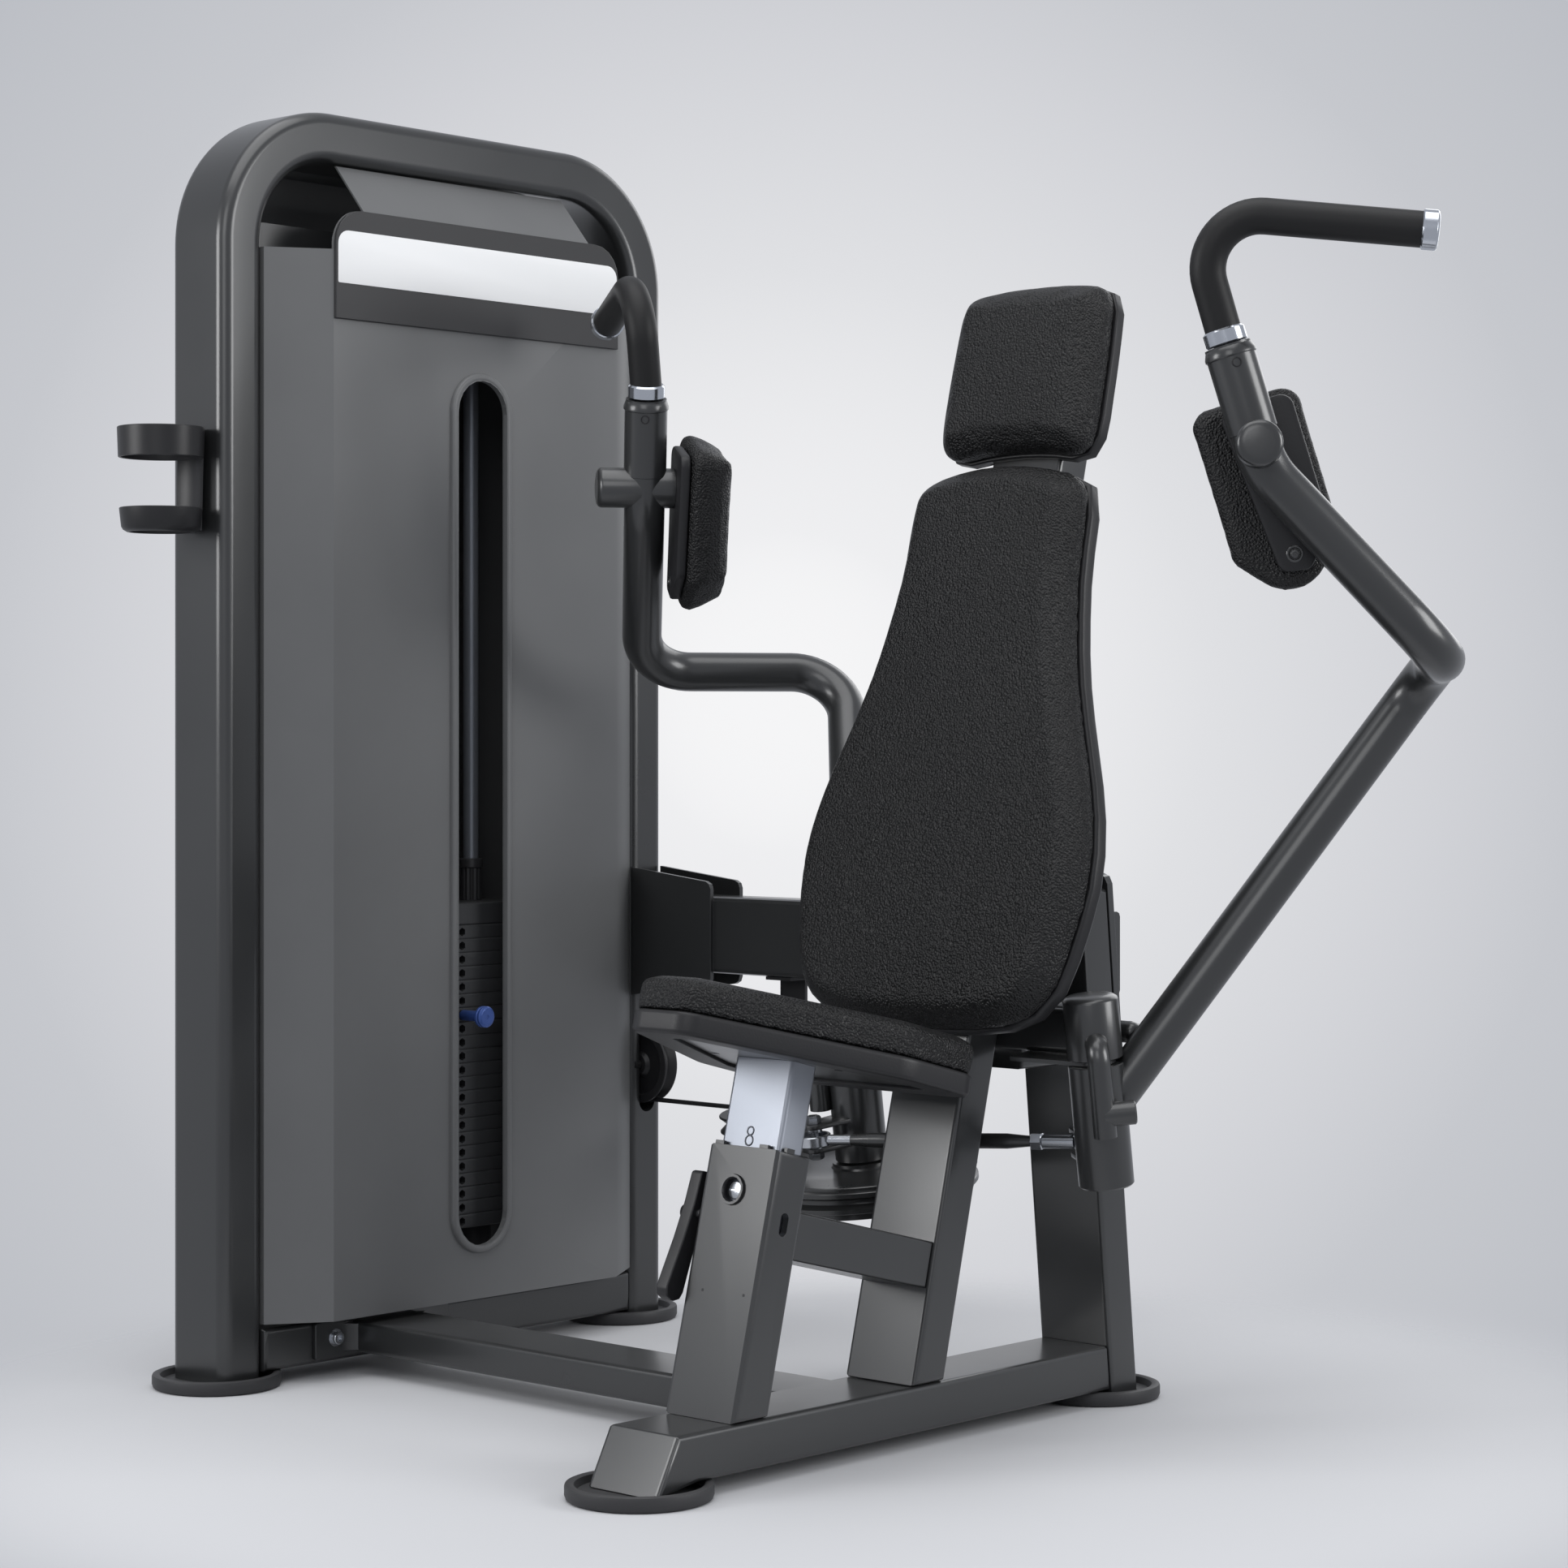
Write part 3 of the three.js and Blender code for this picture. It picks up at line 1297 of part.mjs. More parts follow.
function seatLever() {
  const outline = roundedOutline([
    [leverTipForward - leverHandleHalf, leverTipUp, leverHandleHalf * 0.8],
    [leverTipForward + leverHandleHalf, leverTipUp, leverHandleHalf * 0.8],
    [leverPivotForward + leverNeckHalf + leverHandleHalf / 2, leverPivotUp - 2 * leverHandleHalf, leverHandleHalf],
    [leverPivotForward + leverNeckHalf, leverPivotUp + leverNeckHalf, leverNeckHalf],
    [leverTopForward + leverNeckHalf / 2, leverTopUp, leverNeckHalf / 2],
    [leverTopForward - leverNeckHalf, leverTopUp, leverNeckHalf / 2],
    [leverPivotForward - leverNeckHalf, leverPivotUp - leverNeckHalf, leverNeckHalf],
  ]).map(([forward, up]) => [-forward, up]);
  const body = drawnOut('x', outline, leverOuter, leverInner, leverLoopWall / 2);
  const loop = inset(roundedOutline([
    [leverTipForward - leverHandleHalf, leverTipUp, leverHandleHalf * 0.8],
    [leverTipForward + leverHandleHalf, leverTipUp, leverHandleHalf * 0.8],
    [leverPivotForward + leverNeckHalf + leverHandleHalf / 2, leverPivotUp - 2 * leverHandleHalf, leverNeckHalf],
    [leverPivotForward - leverNeckHalf / 2, leverPivotUp - 3 * leverHandleHalf, leverNeckHalf],
  ]).map(([forward, up]) => [-forward, up]), leverLoopWall);
  const hollow = drawnOut('x', loop, leverOuter - overrun, leverOuter + leverLoopDepth);
  const pin = roundBar([leverOuter - slack, -leverPivotForward, leverPivotUp], [-postHalf - gap, -leverPivotForward, leverPivotUp], leverPinRadius);
  const head = roundBar([leverOuter - 3 * slack, -leverPivotForward, leverPivotUp], [leverOuter + slack, -leverPivotForward, leverPivotUp], leverPinHead);
  return join(cut(body, hollow), pin, head);
}

// Arms

function mirroredPoint([x, y, z], side) {
  return new THREE.Vector3(side * x, y, z);
}

// Crank pin places in a pivot's own frame
const crankPins = {
  right: [rightCrank * Math.cos(rightCrankAngle), rightCrank * Math.sin(rightCrankAngle)],
  left: [leftCrank * Math.cos(leftCrankAngle), leftCrank * Math.sin(leftCrankAngle)],
};

function clevis([px, py]) {
  const far = Math.hypot(px, py);
  const angle = Math.atan2(py, px);
  const outline = roundedOutline([
    [0, -crankHalf - tubeEdge, 0], [far + crankHalf, -crankHalf, crankHalf * 0.8],
    [far + crankHalf, crankHalf, crankHalf * 0.8], [0, crankHalf + tubeEdge, 0],
  ]);
  const plates = [1, -1].map((side) => {
    const face = tieHeight + (side * crankOpening) / 2;
    const [low, high] = side > 0 ? [face, face + crankPlate] : [face - crankPlate, face];
    const geometry = geometryOf(drawnOut('z', outline, low, high));
    geometry.rotateZ(angle);
    return solidOf(geometry);
  });
  const reach = crankOpening / 2 + crankPlate;
  const bolt = roundBar([px, py, tieHeight - reach - 2 * crankBolt], [px, py, tieHeight + reach + 2 * crankBolt], crankBolt, 12);
  const washers = [1, -1].map((side) => roundBar(
    [px, py, tieHeight + side * (eyeThick / 2 + gap)], [px, py, tieHeight + side * (crankOpening / 2 + slack)], 2 * crankBolt, 12));
  const heads = [1, -1].map((side) => roundBar(
    [px, py, tieHeight + side * (reach - slack)], [px, py, tieHeight + side * (reach + 2 * crankBolt)], 2 * crankBolt, 6));
  return join(...plates, bolt, ...washers, ...heads);
}

function pivotTubes() {
  const bore = shaftRadius + slack / 2;
  const lower = turned([
    [0, shaftLow - boreEnd], [bore, shaftLow - boreEnd], [bore, pivotSplit], [pivotRadius, pivotSplit],
    [pivotRadius, pivotLow + capEdge - capHigh], [pivotRadius - capEdge, pivotLow], [0, pivotLow],
  ]);
  const upperLow = pivotSplit + splitGap;
  const upper = turned([
    [0, pivotTop + capHigh], [pivotRadius * 0.6, pivotTop + capHigh * 0.75], [pivotRadius - slack, pivotTop + slack],
    [pivotRadius, pivotTop - slack], [pivotRadius, upperLow], [bore, upperLow], [bore, shaftTop + boreEnd],
    [0, shaftTop + boreEnd],
  ]);
  return [lower, upper];
}

function bridgeRod(side) {
  const out = new THREE.Vector3(side * Math.cos(bridgeAngle), Math.sin(bridgeAngle), 0);
  const at = (radius, height) => out.clone().multiplyScalar(radius).setZ(height);
  const rod = tube(bentRoute([
    at(bridgeOut, bridgeFoot), at(bridgeOut, bridgeHead), at(shaftRadius + 2 * slack + boreEnd, bridgeHead),
  ], [bridgeBend], 5), bridgeRadius);
  const across = new THREE.Vector3(-out.y * side, out.x * side, 0);
  const start = at(bridgeOut, lugHeight);
  const end = start.clone().addScaledVector(across, bridgeRadius + lugLength);
  const lug = roundBar(start.toArray(), end.toArray(), lugRadius, 16);
  return join(rod, lug);
}

function armTubePoints(side) {
  return bentRoute([armFoot, elbow, outerBend, padBend, collarTop].map((p) => mirroredPoint(p, side)),
    [elbowBend, outerBendRadius, padBendRadius], 4);
}

function armWeldment(side) {
  const group = side > 0 ? pivots.right : pivots.left;
  const pin = side > 0 ? crankPins.right : crankPins.left;
  const [lower, upper] = pivotTubes();
  const bore = shaftRadius + slack / 2;
  const shaftRoom = turned([
    [0, shaftLow - boreEnd], [bore, shaftLow - boreEnd], [bore, shaftTop + boreEnd], [0, shaftTop + boreEnd],
  ]);
  const splitRoom = turned([
    [0, pivotSplit], [pivotRadius - slack, pivotSplit], [pivotRadius - slack, pivotSplit + splitGap], [0, pivotSplit + splitGap],
  ]);
  const plateRoom = block(side > 0 ? -2 * pivotRadius : 0, side > 0 ? 0 : 2 * pivotRadius,
    -pivotRadius, pivotRadius, pivotSplit, pivotSplit + splitGap);
  const points = armTubePoints(side);
  const armBar = intoGroup(tube(points, armTube, 12), group);
  const whole = cut(join(lower, upper, bridgeRod(side), armBar, clevis(pin)), shaftRoom, splitRoom, plateRoom);
  const foot = mirroredPoint(padBend, side).lerp(mirroredPoint(collarTop, side), sleeveLow);
  const top = mirroredPoint(collarTop, side);
  const along = top.clone().sub(foot).normalize();
  const sleeve = roundBar(foot.toArray(), top.toArray(), sleeveRadius);
  const collarFoot = top.clone().addScaledVector(along, -collarHigh);
  const collar = roundBar(collarFoot.toArray(), top.toArray(), collarRadius, roundSides, collarRadius - 3 * slack);
  const facing = mirroredPoint(padFacing, side).normalize();
  const pegAt = mirroredPoint(padPeg, side);
  const pegEnd = pegAt.clone().addScaledVector(facing, -pegReach);
  const pegMount = pegAt.clone().addScaledVector(facing, padMount - gap);
  const peg = roundBar(pegMount.toArray(), pegEnd.toArray(), pegRadius);
  const dome = roundBar(pegEnd.toArray(), pegEnd.clone().addScaledVector(facing, -pegDome).toArray(), pegRadius,
    roundSides, pegRadius - pegDome);
  const socket = roundBar(top.clone().addScaledVector(along, -3 * collarHigh).toArray(),
    top.clone().addScaledVector(along, overrun).toArray(), gripStem + gap, 12);
  const upperPiece = cut(join(sleeve, collar, peg, dome), socket);
  return cut(join(whole, intoGroup(upperPiece, group)), intoGroup(socket, group));
}

// Grip: a stem in the sleeve, a chrome ring, a bent rubber grip and a chrome end ring
function gripTube(side) {
  const top = mirroredPoint(collarTop, side);
  const corner = mirroredPoint(gripCorner, side);
  const end = mirroredPoint(gripEnd, side);
  const sleeveLine = top.clone().sub(mirroredPoint(padBend, side)).normalize();
  const stemFoot = top.clone().addScaledVector(sleeveLine, -2.5 * collarHigh);
  const stem = roundBar(stemFoot.toArray(), top.clone().addScaledVector(sleeveLine, ringHigh / 2).toArray(), gripStem, 12);
  const ringFoot = top.clone().addScaledVector(sleeveLine, slack);
  const ring = roundBar(ringFoot.toArray(), ringFoot.clone().addScaledVector(sleeveLine, ringHigh).toArray(), ringRadius);
  const gripFoot = ringFoot.clone().addScaledVector(sleeveLine, ringHigh / 2);
  const grip = tube(bentRoute([gripFoot, corner, end], [gripBend]), gripRadius, 12);
  const outwards = end.clone().sub(corner).normalize();
  const capFoot = end.clone().addScaledVector(outwards, -ringHigh);
  const cap = roundBar(capFoot.toArray(), end.clone().addScaledVector(outwards, slack).toArray(), ringRadius - slack);
  return join(stem, ring, grip, cap);
}

// Frame of an arm pad: local Z climbs the sleeve, local Y points to the user's arm
function padGroup(side) {
  const facing = mirroredPoint(padFacing, side).normalize();
  const climb = mirroredPoint(collarTop, side).sub(mirroredPoint(padBend, side)).normalize();
  const across = facing.clone().cross(climb).normalize();
  const up = across.clone().cross(facing).normalize();
  const group = new THREE.Group();
  group.position.copy(mirroredPoint(padPeg, side));
  group.quaternion.setFromRotationMatrix(new THREE.Matrix4().makeBasis(across, facing, up));
  machine.add(group);
  return group;
}

const armPadOutline = roundedOutline([
  [-armPadHalf, armPadTop, armPadCorner], [-armPadHalf, armPadLow + armPadPoint, armPadCorner],
  [0, armPadLow, 2 * armPadCorner], [armPadHalf, armPadLow + armPadPoint, armPadCorner],
  [armPadHalf, armPadTop, armPadCorner],
], 4);

function addArmPad(side, name) {
  const group = padGroup(side);
  const board = drawnOut('y', inset(armPadOutline, armBoardInset), padMount, padMount + armBoardThick, cableRadius);
  addPart(`pad_board_${name}`, board, plastic, group);
  const low = padMount + armBoardThick + gap;
  const pad = cushion(armPadOutline, low, padWall, low + armPadThick, padInset * 0.8, (a, b, height) => [a, height, b]);
  addPart(`pad_${name}`, pad, leather, group);
}

// Cable wheel under the left pivot, about the pivot's axis
function cableWheel() {
  const low = wheelTop - wheelThick;
  const groove = wheelPitch - cableRadius - gap;
  const middle = wheelTop - wheelThick / 2;
  return turned([
    [0, low], [wheelRim - wheelStep, low], [wheelRim - wheelStep, low + wheelFlange],
    [wheelRim, low + wheelFlange], [wheelRim, middle - wheelStep], [groove, middle - cableRadius],
    [groove, middle + cableRadius], [wheelRim, middle + wheelStep], [wheelRim, wheelTop - wheelFlange],
    [wheelRim - wheelStep, wheelTop - wheelFlange], [wheelRim - wheelStep, wheelTop - wheelRecess / 2],
    [wheelRim - 2 * wheelStep, wheelTop - wheelRecess / 2], [wheelRim - 3 * wheelStep, wheelTop - wheelRecess],
    [wheelBoss, wheelTop - wheelRecess], [wheelBoss, wheelTop - gap], [0, wheelTop - gap],
  ], ringSides);
}

// Tie rod in the right pivot's frame, with a close eye on the right and a wide eye on the left
function tieRod() {
  const [px, py] = crankPins.right;
  const along = [-Math.cos(tieAngle), -Math.sin(tieAngle)];
  const at = (distance) => [px + along[0] * distance, py + along[1] * distance, tieHeight];
  const eye = (place, radius, half) => roundBar([place[0], place[1], tieHeight - half], [place[0], place[1], tieHeight + half], radius);
  const half = eyeThick / 2;
  const rightRing = eye(at(0), rightEye, half);
  const leftRing = eye(at(tieLength), leftEye, half);
  const shank = roundBar(at(rightEye - slack), at(rodEndLength), rodEndRadius - slack, 12);
  const nut = roundBar(at(rodEndLength - crankHalf), at(rodEndLength), rodEndRadius + slack, 6);
  const rightTaper = roundBar(at(rodEndLength - slack), at(rodEndLength + 2 * crankHalf), tieNeck, 12, tieRadius);
  const rod = roundBar(at(rodEndLength + 2 * crankHalf - slack), at(tieLength - rodEndLength - crankHalf), tieRadius, 12);
  const leftTaper = roundBar(at(tieLength - rodEndLength - crankHalf - slack), at(tieLength - rodEndLength + crankHalf),
    tieRadius, 12, tieNeck);
  const leftShank = roundBar(at(tieLength - rodEndLength + crankHalf - slack), at(tieLength - leftEye + slack), tieNeck, 12);
  const solid = join(rightRing, leftRing, shank, nut, rightTaper, rod, leftTaper, leftShank);
  return cut(solid, eye(at(0), crankBolt + gap, eyeThick), eye(at(tieLength), leftEyeBore, eyeThick));
}

// Cup holder on the near leg: an upper ring, a lower cup and a curved back strip
function cupHolder() {
  const ring = (low, high, outer) => turned([
    [outer - cupWall - cupTaper, low], [outer - cupTaper, low], [outer, high], [outer - cupWall, high],
    [outer - cupWall - cupTaper, low],
  ], ringSides);
  const upper = ring(cupRingLow, cupTop, cupRadius);
  const lowerTop = cupRadius - 2 * cupTaper;
  const lower = turned([
    [cupFloorHole, cupLow], [lowerTop - 3 * cupWall, cupLow], [lowerTop - 2 * cupTaper, cupLow + 2 * cupWall],
    [lowerTop, cupLipTop], [lowerTop - cupWall, cupLipTop], [lowerTop - cupWall - cupTaper, cupLow + 2 * cupWall],
    [lowerTop - 4 * cupWall, cupLow + cupWall], [cupFloorHole, cupLow + cupWall], [cupFloorHole, cupLow],
  ], ringSides);
  const strip = turned([
    [lowerTop - cupWall, cupLow + cupWall], [lowerTop, cupLow + cupWall], [cupRadius, cupTop],
    [cupRadius - cupWall, cupTop], [lowerTop - cupWall, cupLow + cupWall],
  ], ringSides).intersect(block(-cupBackHalf, cupBackHalf, 0, 2 * cupRadius, 0, towerHeight));
  const seat = block(-cupBackHalf / 2, cupBackHalf / 2, cupRadius - cupWall, cupRadius + slack - gap, cupLow + 2 * cupWall, cupTop - cupWall);
  return join(upper, lower, strip, seat).translate([towerX, -legOuter - cupRadius - slack, 0]);
}

// Assembly

addPart('tower_frame', towerFrame(), framePaint);
addPart('tower_base_tube', towerBaseTube(), framePaint);
addPart('top_cross_member', topCrossMember(), framePaint);
addPart('rod_top_bar', rodTopBar(), framePaint);
addPart('front_shroud', frontShroud(), shroudPaint);
addPart('rear_shroud', rearShroud(), shroudPaint);
addPart('placard_board', placardBoard(), boardPaint);
addFoot('foot_tower_near', towerX, -legY);
addFoot('foot_tower_far', towerX, legY);
addFoot('foot_front', 0, frontFootY);
addFoot('foot_rear', 0, rearFootY);

[['near', -1], ['far', 1]].forEach(([name, side]) => {
  const rod = roundBar([towerX, side * rodSpacing, tubeLow + tubeHigh + gap], [towerX, side * rodSpacing, rodTop - gap], rodRadius, 16);
  addPart(`guide_rod_${name}`, rod, rodSteel);
  addPart(`stack_bumper_${name}`, stackBumper(side), rubber);
});
addPart('lower_plates', plateStack(plateCount - liftedCount, stackLow), plateSteel);
addPart('lifted_plates', plateStack(liftedCount, liftedLow + gap), plateSteel);
addPart('top_plate', topPlate(), plateSteel);
addPart('stack_bush', stackBush(), blackPlastic);
addPart('selector_pin', selectorPin(), pinBlue);

addPulley('pulley_low', new THREE.Vector3(lowPulleyX, legY, lowPulleyZ), new THREE.Vector3(0, 1, 0));
addPulley('pulley_redirect', redirectCentre, pivotAxis);
addPulley('pulley_top_outer', new THREE.Vector3(towerX, outerPulleyY, topPulleyZ), sideways);
addPulley('pulley_top_centre', new THREE.Vector3(towerX, centrePulleyY, topPulleyZ), sideways);
addPart('redirect_bracket', redirectBracket(), blackPlastic);
addPart('cable_run', cableRun(), cableJacket);
addPart('cable_drop', cableDrop(), cableJacket);

addPart('connecting_beam', connectingBeam(), framePaint);
addPart('seat_base_beam', seatBaseBeam(), framePaint);
addPart('seat_post_outer', seatPostOuter(), framePaint);
addPart('post_brace', postBrace(), framePaint);
addPart('back_upright', backUpright(), framePaint);
addPart('rear_post', rearPost(), framePaint);
addPart('pivot_yoke', pivotYoke(), framePaint);
addPart('tie_beam', tieBeam(), framePaint);
addPart('cup_holder', cupHolder(), framePaint);

addPart('backrest_board', backrestBoard(), plastic, leaning);
addPart('backrest_pad', cushion(backOutline, shellFront + gap, padWall, backFace, padInset, onLean), leather, leaning);
addPart('headrest_board', headrestBoard(), plastic, leaning);
addPart('headrest_pad', cushion(headOutline, headShellFront + gap, padWall, headFace, padInset, onLean), leather, leaning);
addPart('seat_post_inner', seatPostInner(), aluminium, leaning);
addPart('seat_plate', seatPlate(), bareSteel, leaning);
addPart('seat_board', seatBoard(), plastic, leaning);
const seatPad = cushion(seatOutline, seatUnder + seatRimHigh + gap, seatPadWall, seatFace, padInset, onSeat);
addPart('seat_pad', seatPad, leather, leaning);
addPart('seat_lever', seatLever(), blackPlastic, leaning);

addPart('arm_right', armWeldment(1), framePaint, pivots.right);
addPart('arm_left', armWeldment(-1), framePaint, pivots.left);
addPart('cable_wheel', cableWheel(), blackPlastic, pivots.left);
addPart('tie_rod', tieRod(), blackPlastic, pivots.right);
addPart('grip_right', gripTube(1), gripRubber);
addPart('grip_left', gripTube(-1), gripRubber);
addArmPad(1, 'right');
addArmPad(-1, 'left');

// The origin is the middle of the machine's footprint, on the floor
const bounds = new THREE.Box3().setFromObject(machine, true);
const middle = bounds.getCenter(new THREE.Vector3());
machine.position.set(-middle.x, -middle.y, -bounds.min.z);

export default machine;
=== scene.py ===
import math

import bmesh
import bpy
import numpy as np
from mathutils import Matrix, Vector


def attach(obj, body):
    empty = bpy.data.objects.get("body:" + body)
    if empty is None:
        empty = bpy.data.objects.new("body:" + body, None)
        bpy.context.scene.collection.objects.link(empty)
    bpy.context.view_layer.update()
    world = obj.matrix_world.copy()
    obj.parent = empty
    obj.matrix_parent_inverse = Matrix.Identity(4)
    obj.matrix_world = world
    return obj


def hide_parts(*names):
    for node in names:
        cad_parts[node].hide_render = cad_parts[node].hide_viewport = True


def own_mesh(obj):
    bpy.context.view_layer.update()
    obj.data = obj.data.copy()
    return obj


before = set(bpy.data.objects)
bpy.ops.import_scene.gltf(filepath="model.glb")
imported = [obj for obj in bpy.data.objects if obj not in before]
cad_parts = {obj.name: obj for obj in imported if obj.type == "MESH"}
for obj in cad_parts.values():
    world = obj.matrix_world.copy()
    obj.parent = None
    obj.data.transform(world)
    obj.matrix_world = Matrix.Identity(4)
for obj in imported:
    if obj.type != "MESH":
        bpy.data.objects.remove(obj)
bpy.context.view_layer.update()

# Studio.
# A pale floor that fades into a pale backdrop, lit by large soft lamps.
# The camera stands low in front of the seat and looks level at the machine.
CAMERA_PLACE = (2.6145, -2.862, 0.761)
CAMERA_TURN = math.radians(42.6)
CAMERA_LENS = 80.8
CAMERA_SENSOR = 36
CAMERA_SHIFT = -61 / 1932
BACKDROP_STEPS = [
    (0.0, (246, 246, 247)),
    (0.02, (240, 240, 242)),
    (0.14, (223, 224, 227)),
    (0.33, (209, 210, 215)),
    (0.5, (199, 201, 206)),
    (1.0, (181, 184, 191)),
]
BACKDROP_SPREAD = 0.05
BACKDROP_MIDDLE = (-math.sin(CAMERA_TURN), math.cos(CAMERA_TURN), 0.012)
ROOM_COLOUR = (0.93, 0.95, 1.0, 1)
ROOM_LIGHT = 0.5
# Each lamp has its place, the point it is turned to, its width and its power.
LAMPS = [
    ("lamp_top", (0.2, -0.6, 3.6), (0.0, 0.0, 0.6), 3.0, 56),
    ("lamp_left", (-1.5, -2.7, 1.5), (0.0, -0.2, 0.3), 1.2, 30),
    ("lamp_right", (3.6, 1.6, 1.8), (0.2, 0.0, 0.8), 1.8, 64),
    ("lamp_front", (2.2, -3.8, 2.6), (0.0, 0.0, 0.7), 2.0, 26),
    ("lamp_behind", (-0.6, 3.6, 2.4), (0.0, 0.0, 0.8), 2.4, 26),
]
FLOOR_REACH = 6.0
FLOOR_SOLID = 0.7
FLOOR_CLEAR = 1.25
FLOOR_COLOUR = (205, 206, 209)


def linear(red, green, blue):
    """A colour of the shader, from its values on a 0 to 255 display."""
    shares = np.array([red, green, blue]) / 255
    curve = np.where(shares <= 0.04045, shares / 12.92, ((shares + 0.055) / 1.055) ** 2.4)
    return (*curve.tolist(), 1)


def fill(node, values):
    """Gives a node's sockets their values."""
    for socket, value in values.items():
        node.inputs[socket].default_value = value


def add(tree, kind, values={}, **settings):
    """A new shader node of a kind, with its settings and then the values of its sockets."""
    node = tree.nodes.new(f"ShaderNode{kind}")
    for setting, value in settings.items():
        setattr(node, setting, value)
    fill(node, values)
    return node


def wire(tree, *links):
    """Links nodes: each link is a node and its output, then a node and its input."""
    for source, output, target, socket in links:
        tree.links.new(source.outputs[output], target.inputs[socket])


def linked(thing):
    """Puts an object in the scene."""
    bpy.context.scene.collection.objects.link(thing)
    return thing


camera_data = bpy.data.cameras.new("camera")
camera_data.lens = CAMERA_LENS
camera_data.sensor_width = CAMERA_SENSOR
camera_data.shift_y = CAMERA_SHIFT
camera = linked(bpy.data.objects.new("camera", camera_data))
camera.location = CAMERA_PLACE
camera.rotation_euler = (math.radians(90), 0, CAMERA_TURN)
bpy.context.scene.camera = camera
bpy.context.scene.view_settings.view_transform = "Standard"

world = bpy.data.worlds.new("studio")
bpy.context.scene.world = world
world.use_nodes = True
tree = world.node_tree
tree.nodes.clear()
towards = add(tree, "TexCoord")
facing = add(tree, "VectorMath", {1: BACKDROP_MIDDLE}, operation="DOT_PRODUCT")
spread = add(tree, "MapRange", {"From Min": 1.0, "From Max": 1.0 - BACKDROP_SPREAD})
fade = add(tree, "ValToRGB")
fade.color_ramp.interpolation = "B_SPLINE"
for number, (place, colour) in enumerate(BACKDROP_STEPS):
    if number < 2:
        step = fade.color_ramp.elements[number]
        step.position = place
    else:
        step = fade.color_ramp.elements.new(place)
    step.color = linear(*colour)
seen = add(tree, "Background")
room = add(tree, "Background", {"Color": ROOM_COLOUR, "Strength": ROOM_LIGHT})
rays = add(tree, "LightPath")
camera_or_gloss = add(tree, "Math", operation="MAXIMUM")
seen_share = add(tree, "Math", operation="MAXIMUM")
share = add(tree, "MixShader")
output = add(tree, "OutputWorld")
wire(tree, (towards, "Generated", facing, 0), (facing, "Value", spread, "Value"),
     (spread, "Result", fade, "Fac"), (fade, "Color", seen, "Color"),
     (rays, "Is Camera Ray", camera_or_gloss, 0), (rays, "Is Glossy Ray", camera_or_gloss, 1),
     (camera_or_gloss, "Value", seen_share, 0),
     (rays, "Is Transmission Ray", seen_share, 1), (seen_share, "Value", share, "Fac"),
     (room, "Background", share, 1), (seen, "Background", share, 2), (share, "Shader", output, "Surface"))

for name, place, aim, size, power in LAMPS:
    lamp_data = bpy.data.lights.new(name, "AREA")
    lamp_data.shape = "SQUARE"
    lamp_data.size = size
    lamp_data.energy = power
    lamp = linked(bpy.data.objects.new(name, lamp_data))
    lamp.location = place
    lamp.rotation_euler = (Vector(aim) - Vector(place)).to_track_quat("-Z", "Y").to_euler()

floor_mesh = bpy.data.meshes.new("floor")
floor_corners = [(x * FLOOR_REACH, y * FLOOR_REACH, 0) for x, y in ((-1, -1), (1, -1), (1, 1), (-1, 1))]
floor_mesh.from_pydata(floor_corners, [], [(0, 1, 2, 3)])
floor = linked(bpy.data.objects.new("floor", floor_mesh))
floor_paint = bpy.data.materials.new("floor")
floor_paint.use_nodes = True
tree = floor_paint.node_tree
tree.nodes.clear()
where = add(tree, "TexCoord")
distance = add(tree, "VectorMath", operation="LENGTH")
clear = add(tree, "MapRange", {"From Min": FLOOR_SOLID, "From Max": FLOOR_CLEAR},
            interpolation_type="SMOOTHERSTEP")
matte = add(tree, "BsdfDiffuse", {"Color": linear(*FLOOR_COLOUR)})
through = add(tree, "BsdfTransparent")
share = add(tree, "MixShader")
output = add(tree, "OutputMaterial")
wire(tree, (where, "Object", distance, 0), (distance, "Value", clear, "Value"),
     (clear, "Result", share, "Fac"), (matte, "BSDF", share, 1), (through, "BSDF", share, 2),
     (share, "Shader", output, "Surface"))
floor_mesh.materials.append(floor_paint)

# Rubber feet.
# Four moulded rubber dishes carry the floor tubes, whose ends stand on the dish floors.
# Matte rubber, one pressing each, with a rounded rim and a faint dusty bloom.
DESIGN_SHIFT = np.array([135.5267, 48.0, 0.0])
FEET = {"foot_tower_near": (-793, -331), "foot_tower_far": (-793, 331), "foot_front": (0, -427),
        "foot_rear": (0, 314)}
FOOT_RADIUS = 75
FOOT_HIGH = 16.5
FOOT_DISH = 61
FOOT_FLOOR = 7.7
FOOT_PROFILE = [
    (FOOT_RADIUS - 5, 0), (FOOT_RADIUS - 1.4, 1.4), (FOOT_RADIUS, 5), (FOOT_RADIUS, FOOT_HIGH - 3),
    (FOOT_RADIUS - 0.8, FOOT_HIGH - 0.9), (FOOT_RADIUS - 3, FOOT_HIGH), (FOOT_RADIUS - 7, FOOT_HIGH),
    (FOOT_RADIUS - 9.5, FOOT_HIGH - 1.2), (FOOT_DISH + 1.5, FOOT_FLOOR + 0.8), (FOOT_DISH - 2, FOOT_FLOOR),
]
SHARP = math.radians(38)
ROUND_SIDES = 64
UP = (0.0, 0.0, 1.0)
# A direction that no turned form's axis is parallel to.
OFF_AXIS = (0.31, 0.83, 0.46)
PATCH_SCALE = 6.0
DUST_COLOUR = (0.4, 0.4, 0.4, 1)
COAT_ROUGHNESS = 0.16


def unit(vector):
    """A vector, or each row of an array of them, divided by its length."""
    vector = np.asarray(vector, float)
    return vector / np.linalg.norm(vector, axis=-1, keepdims=True)


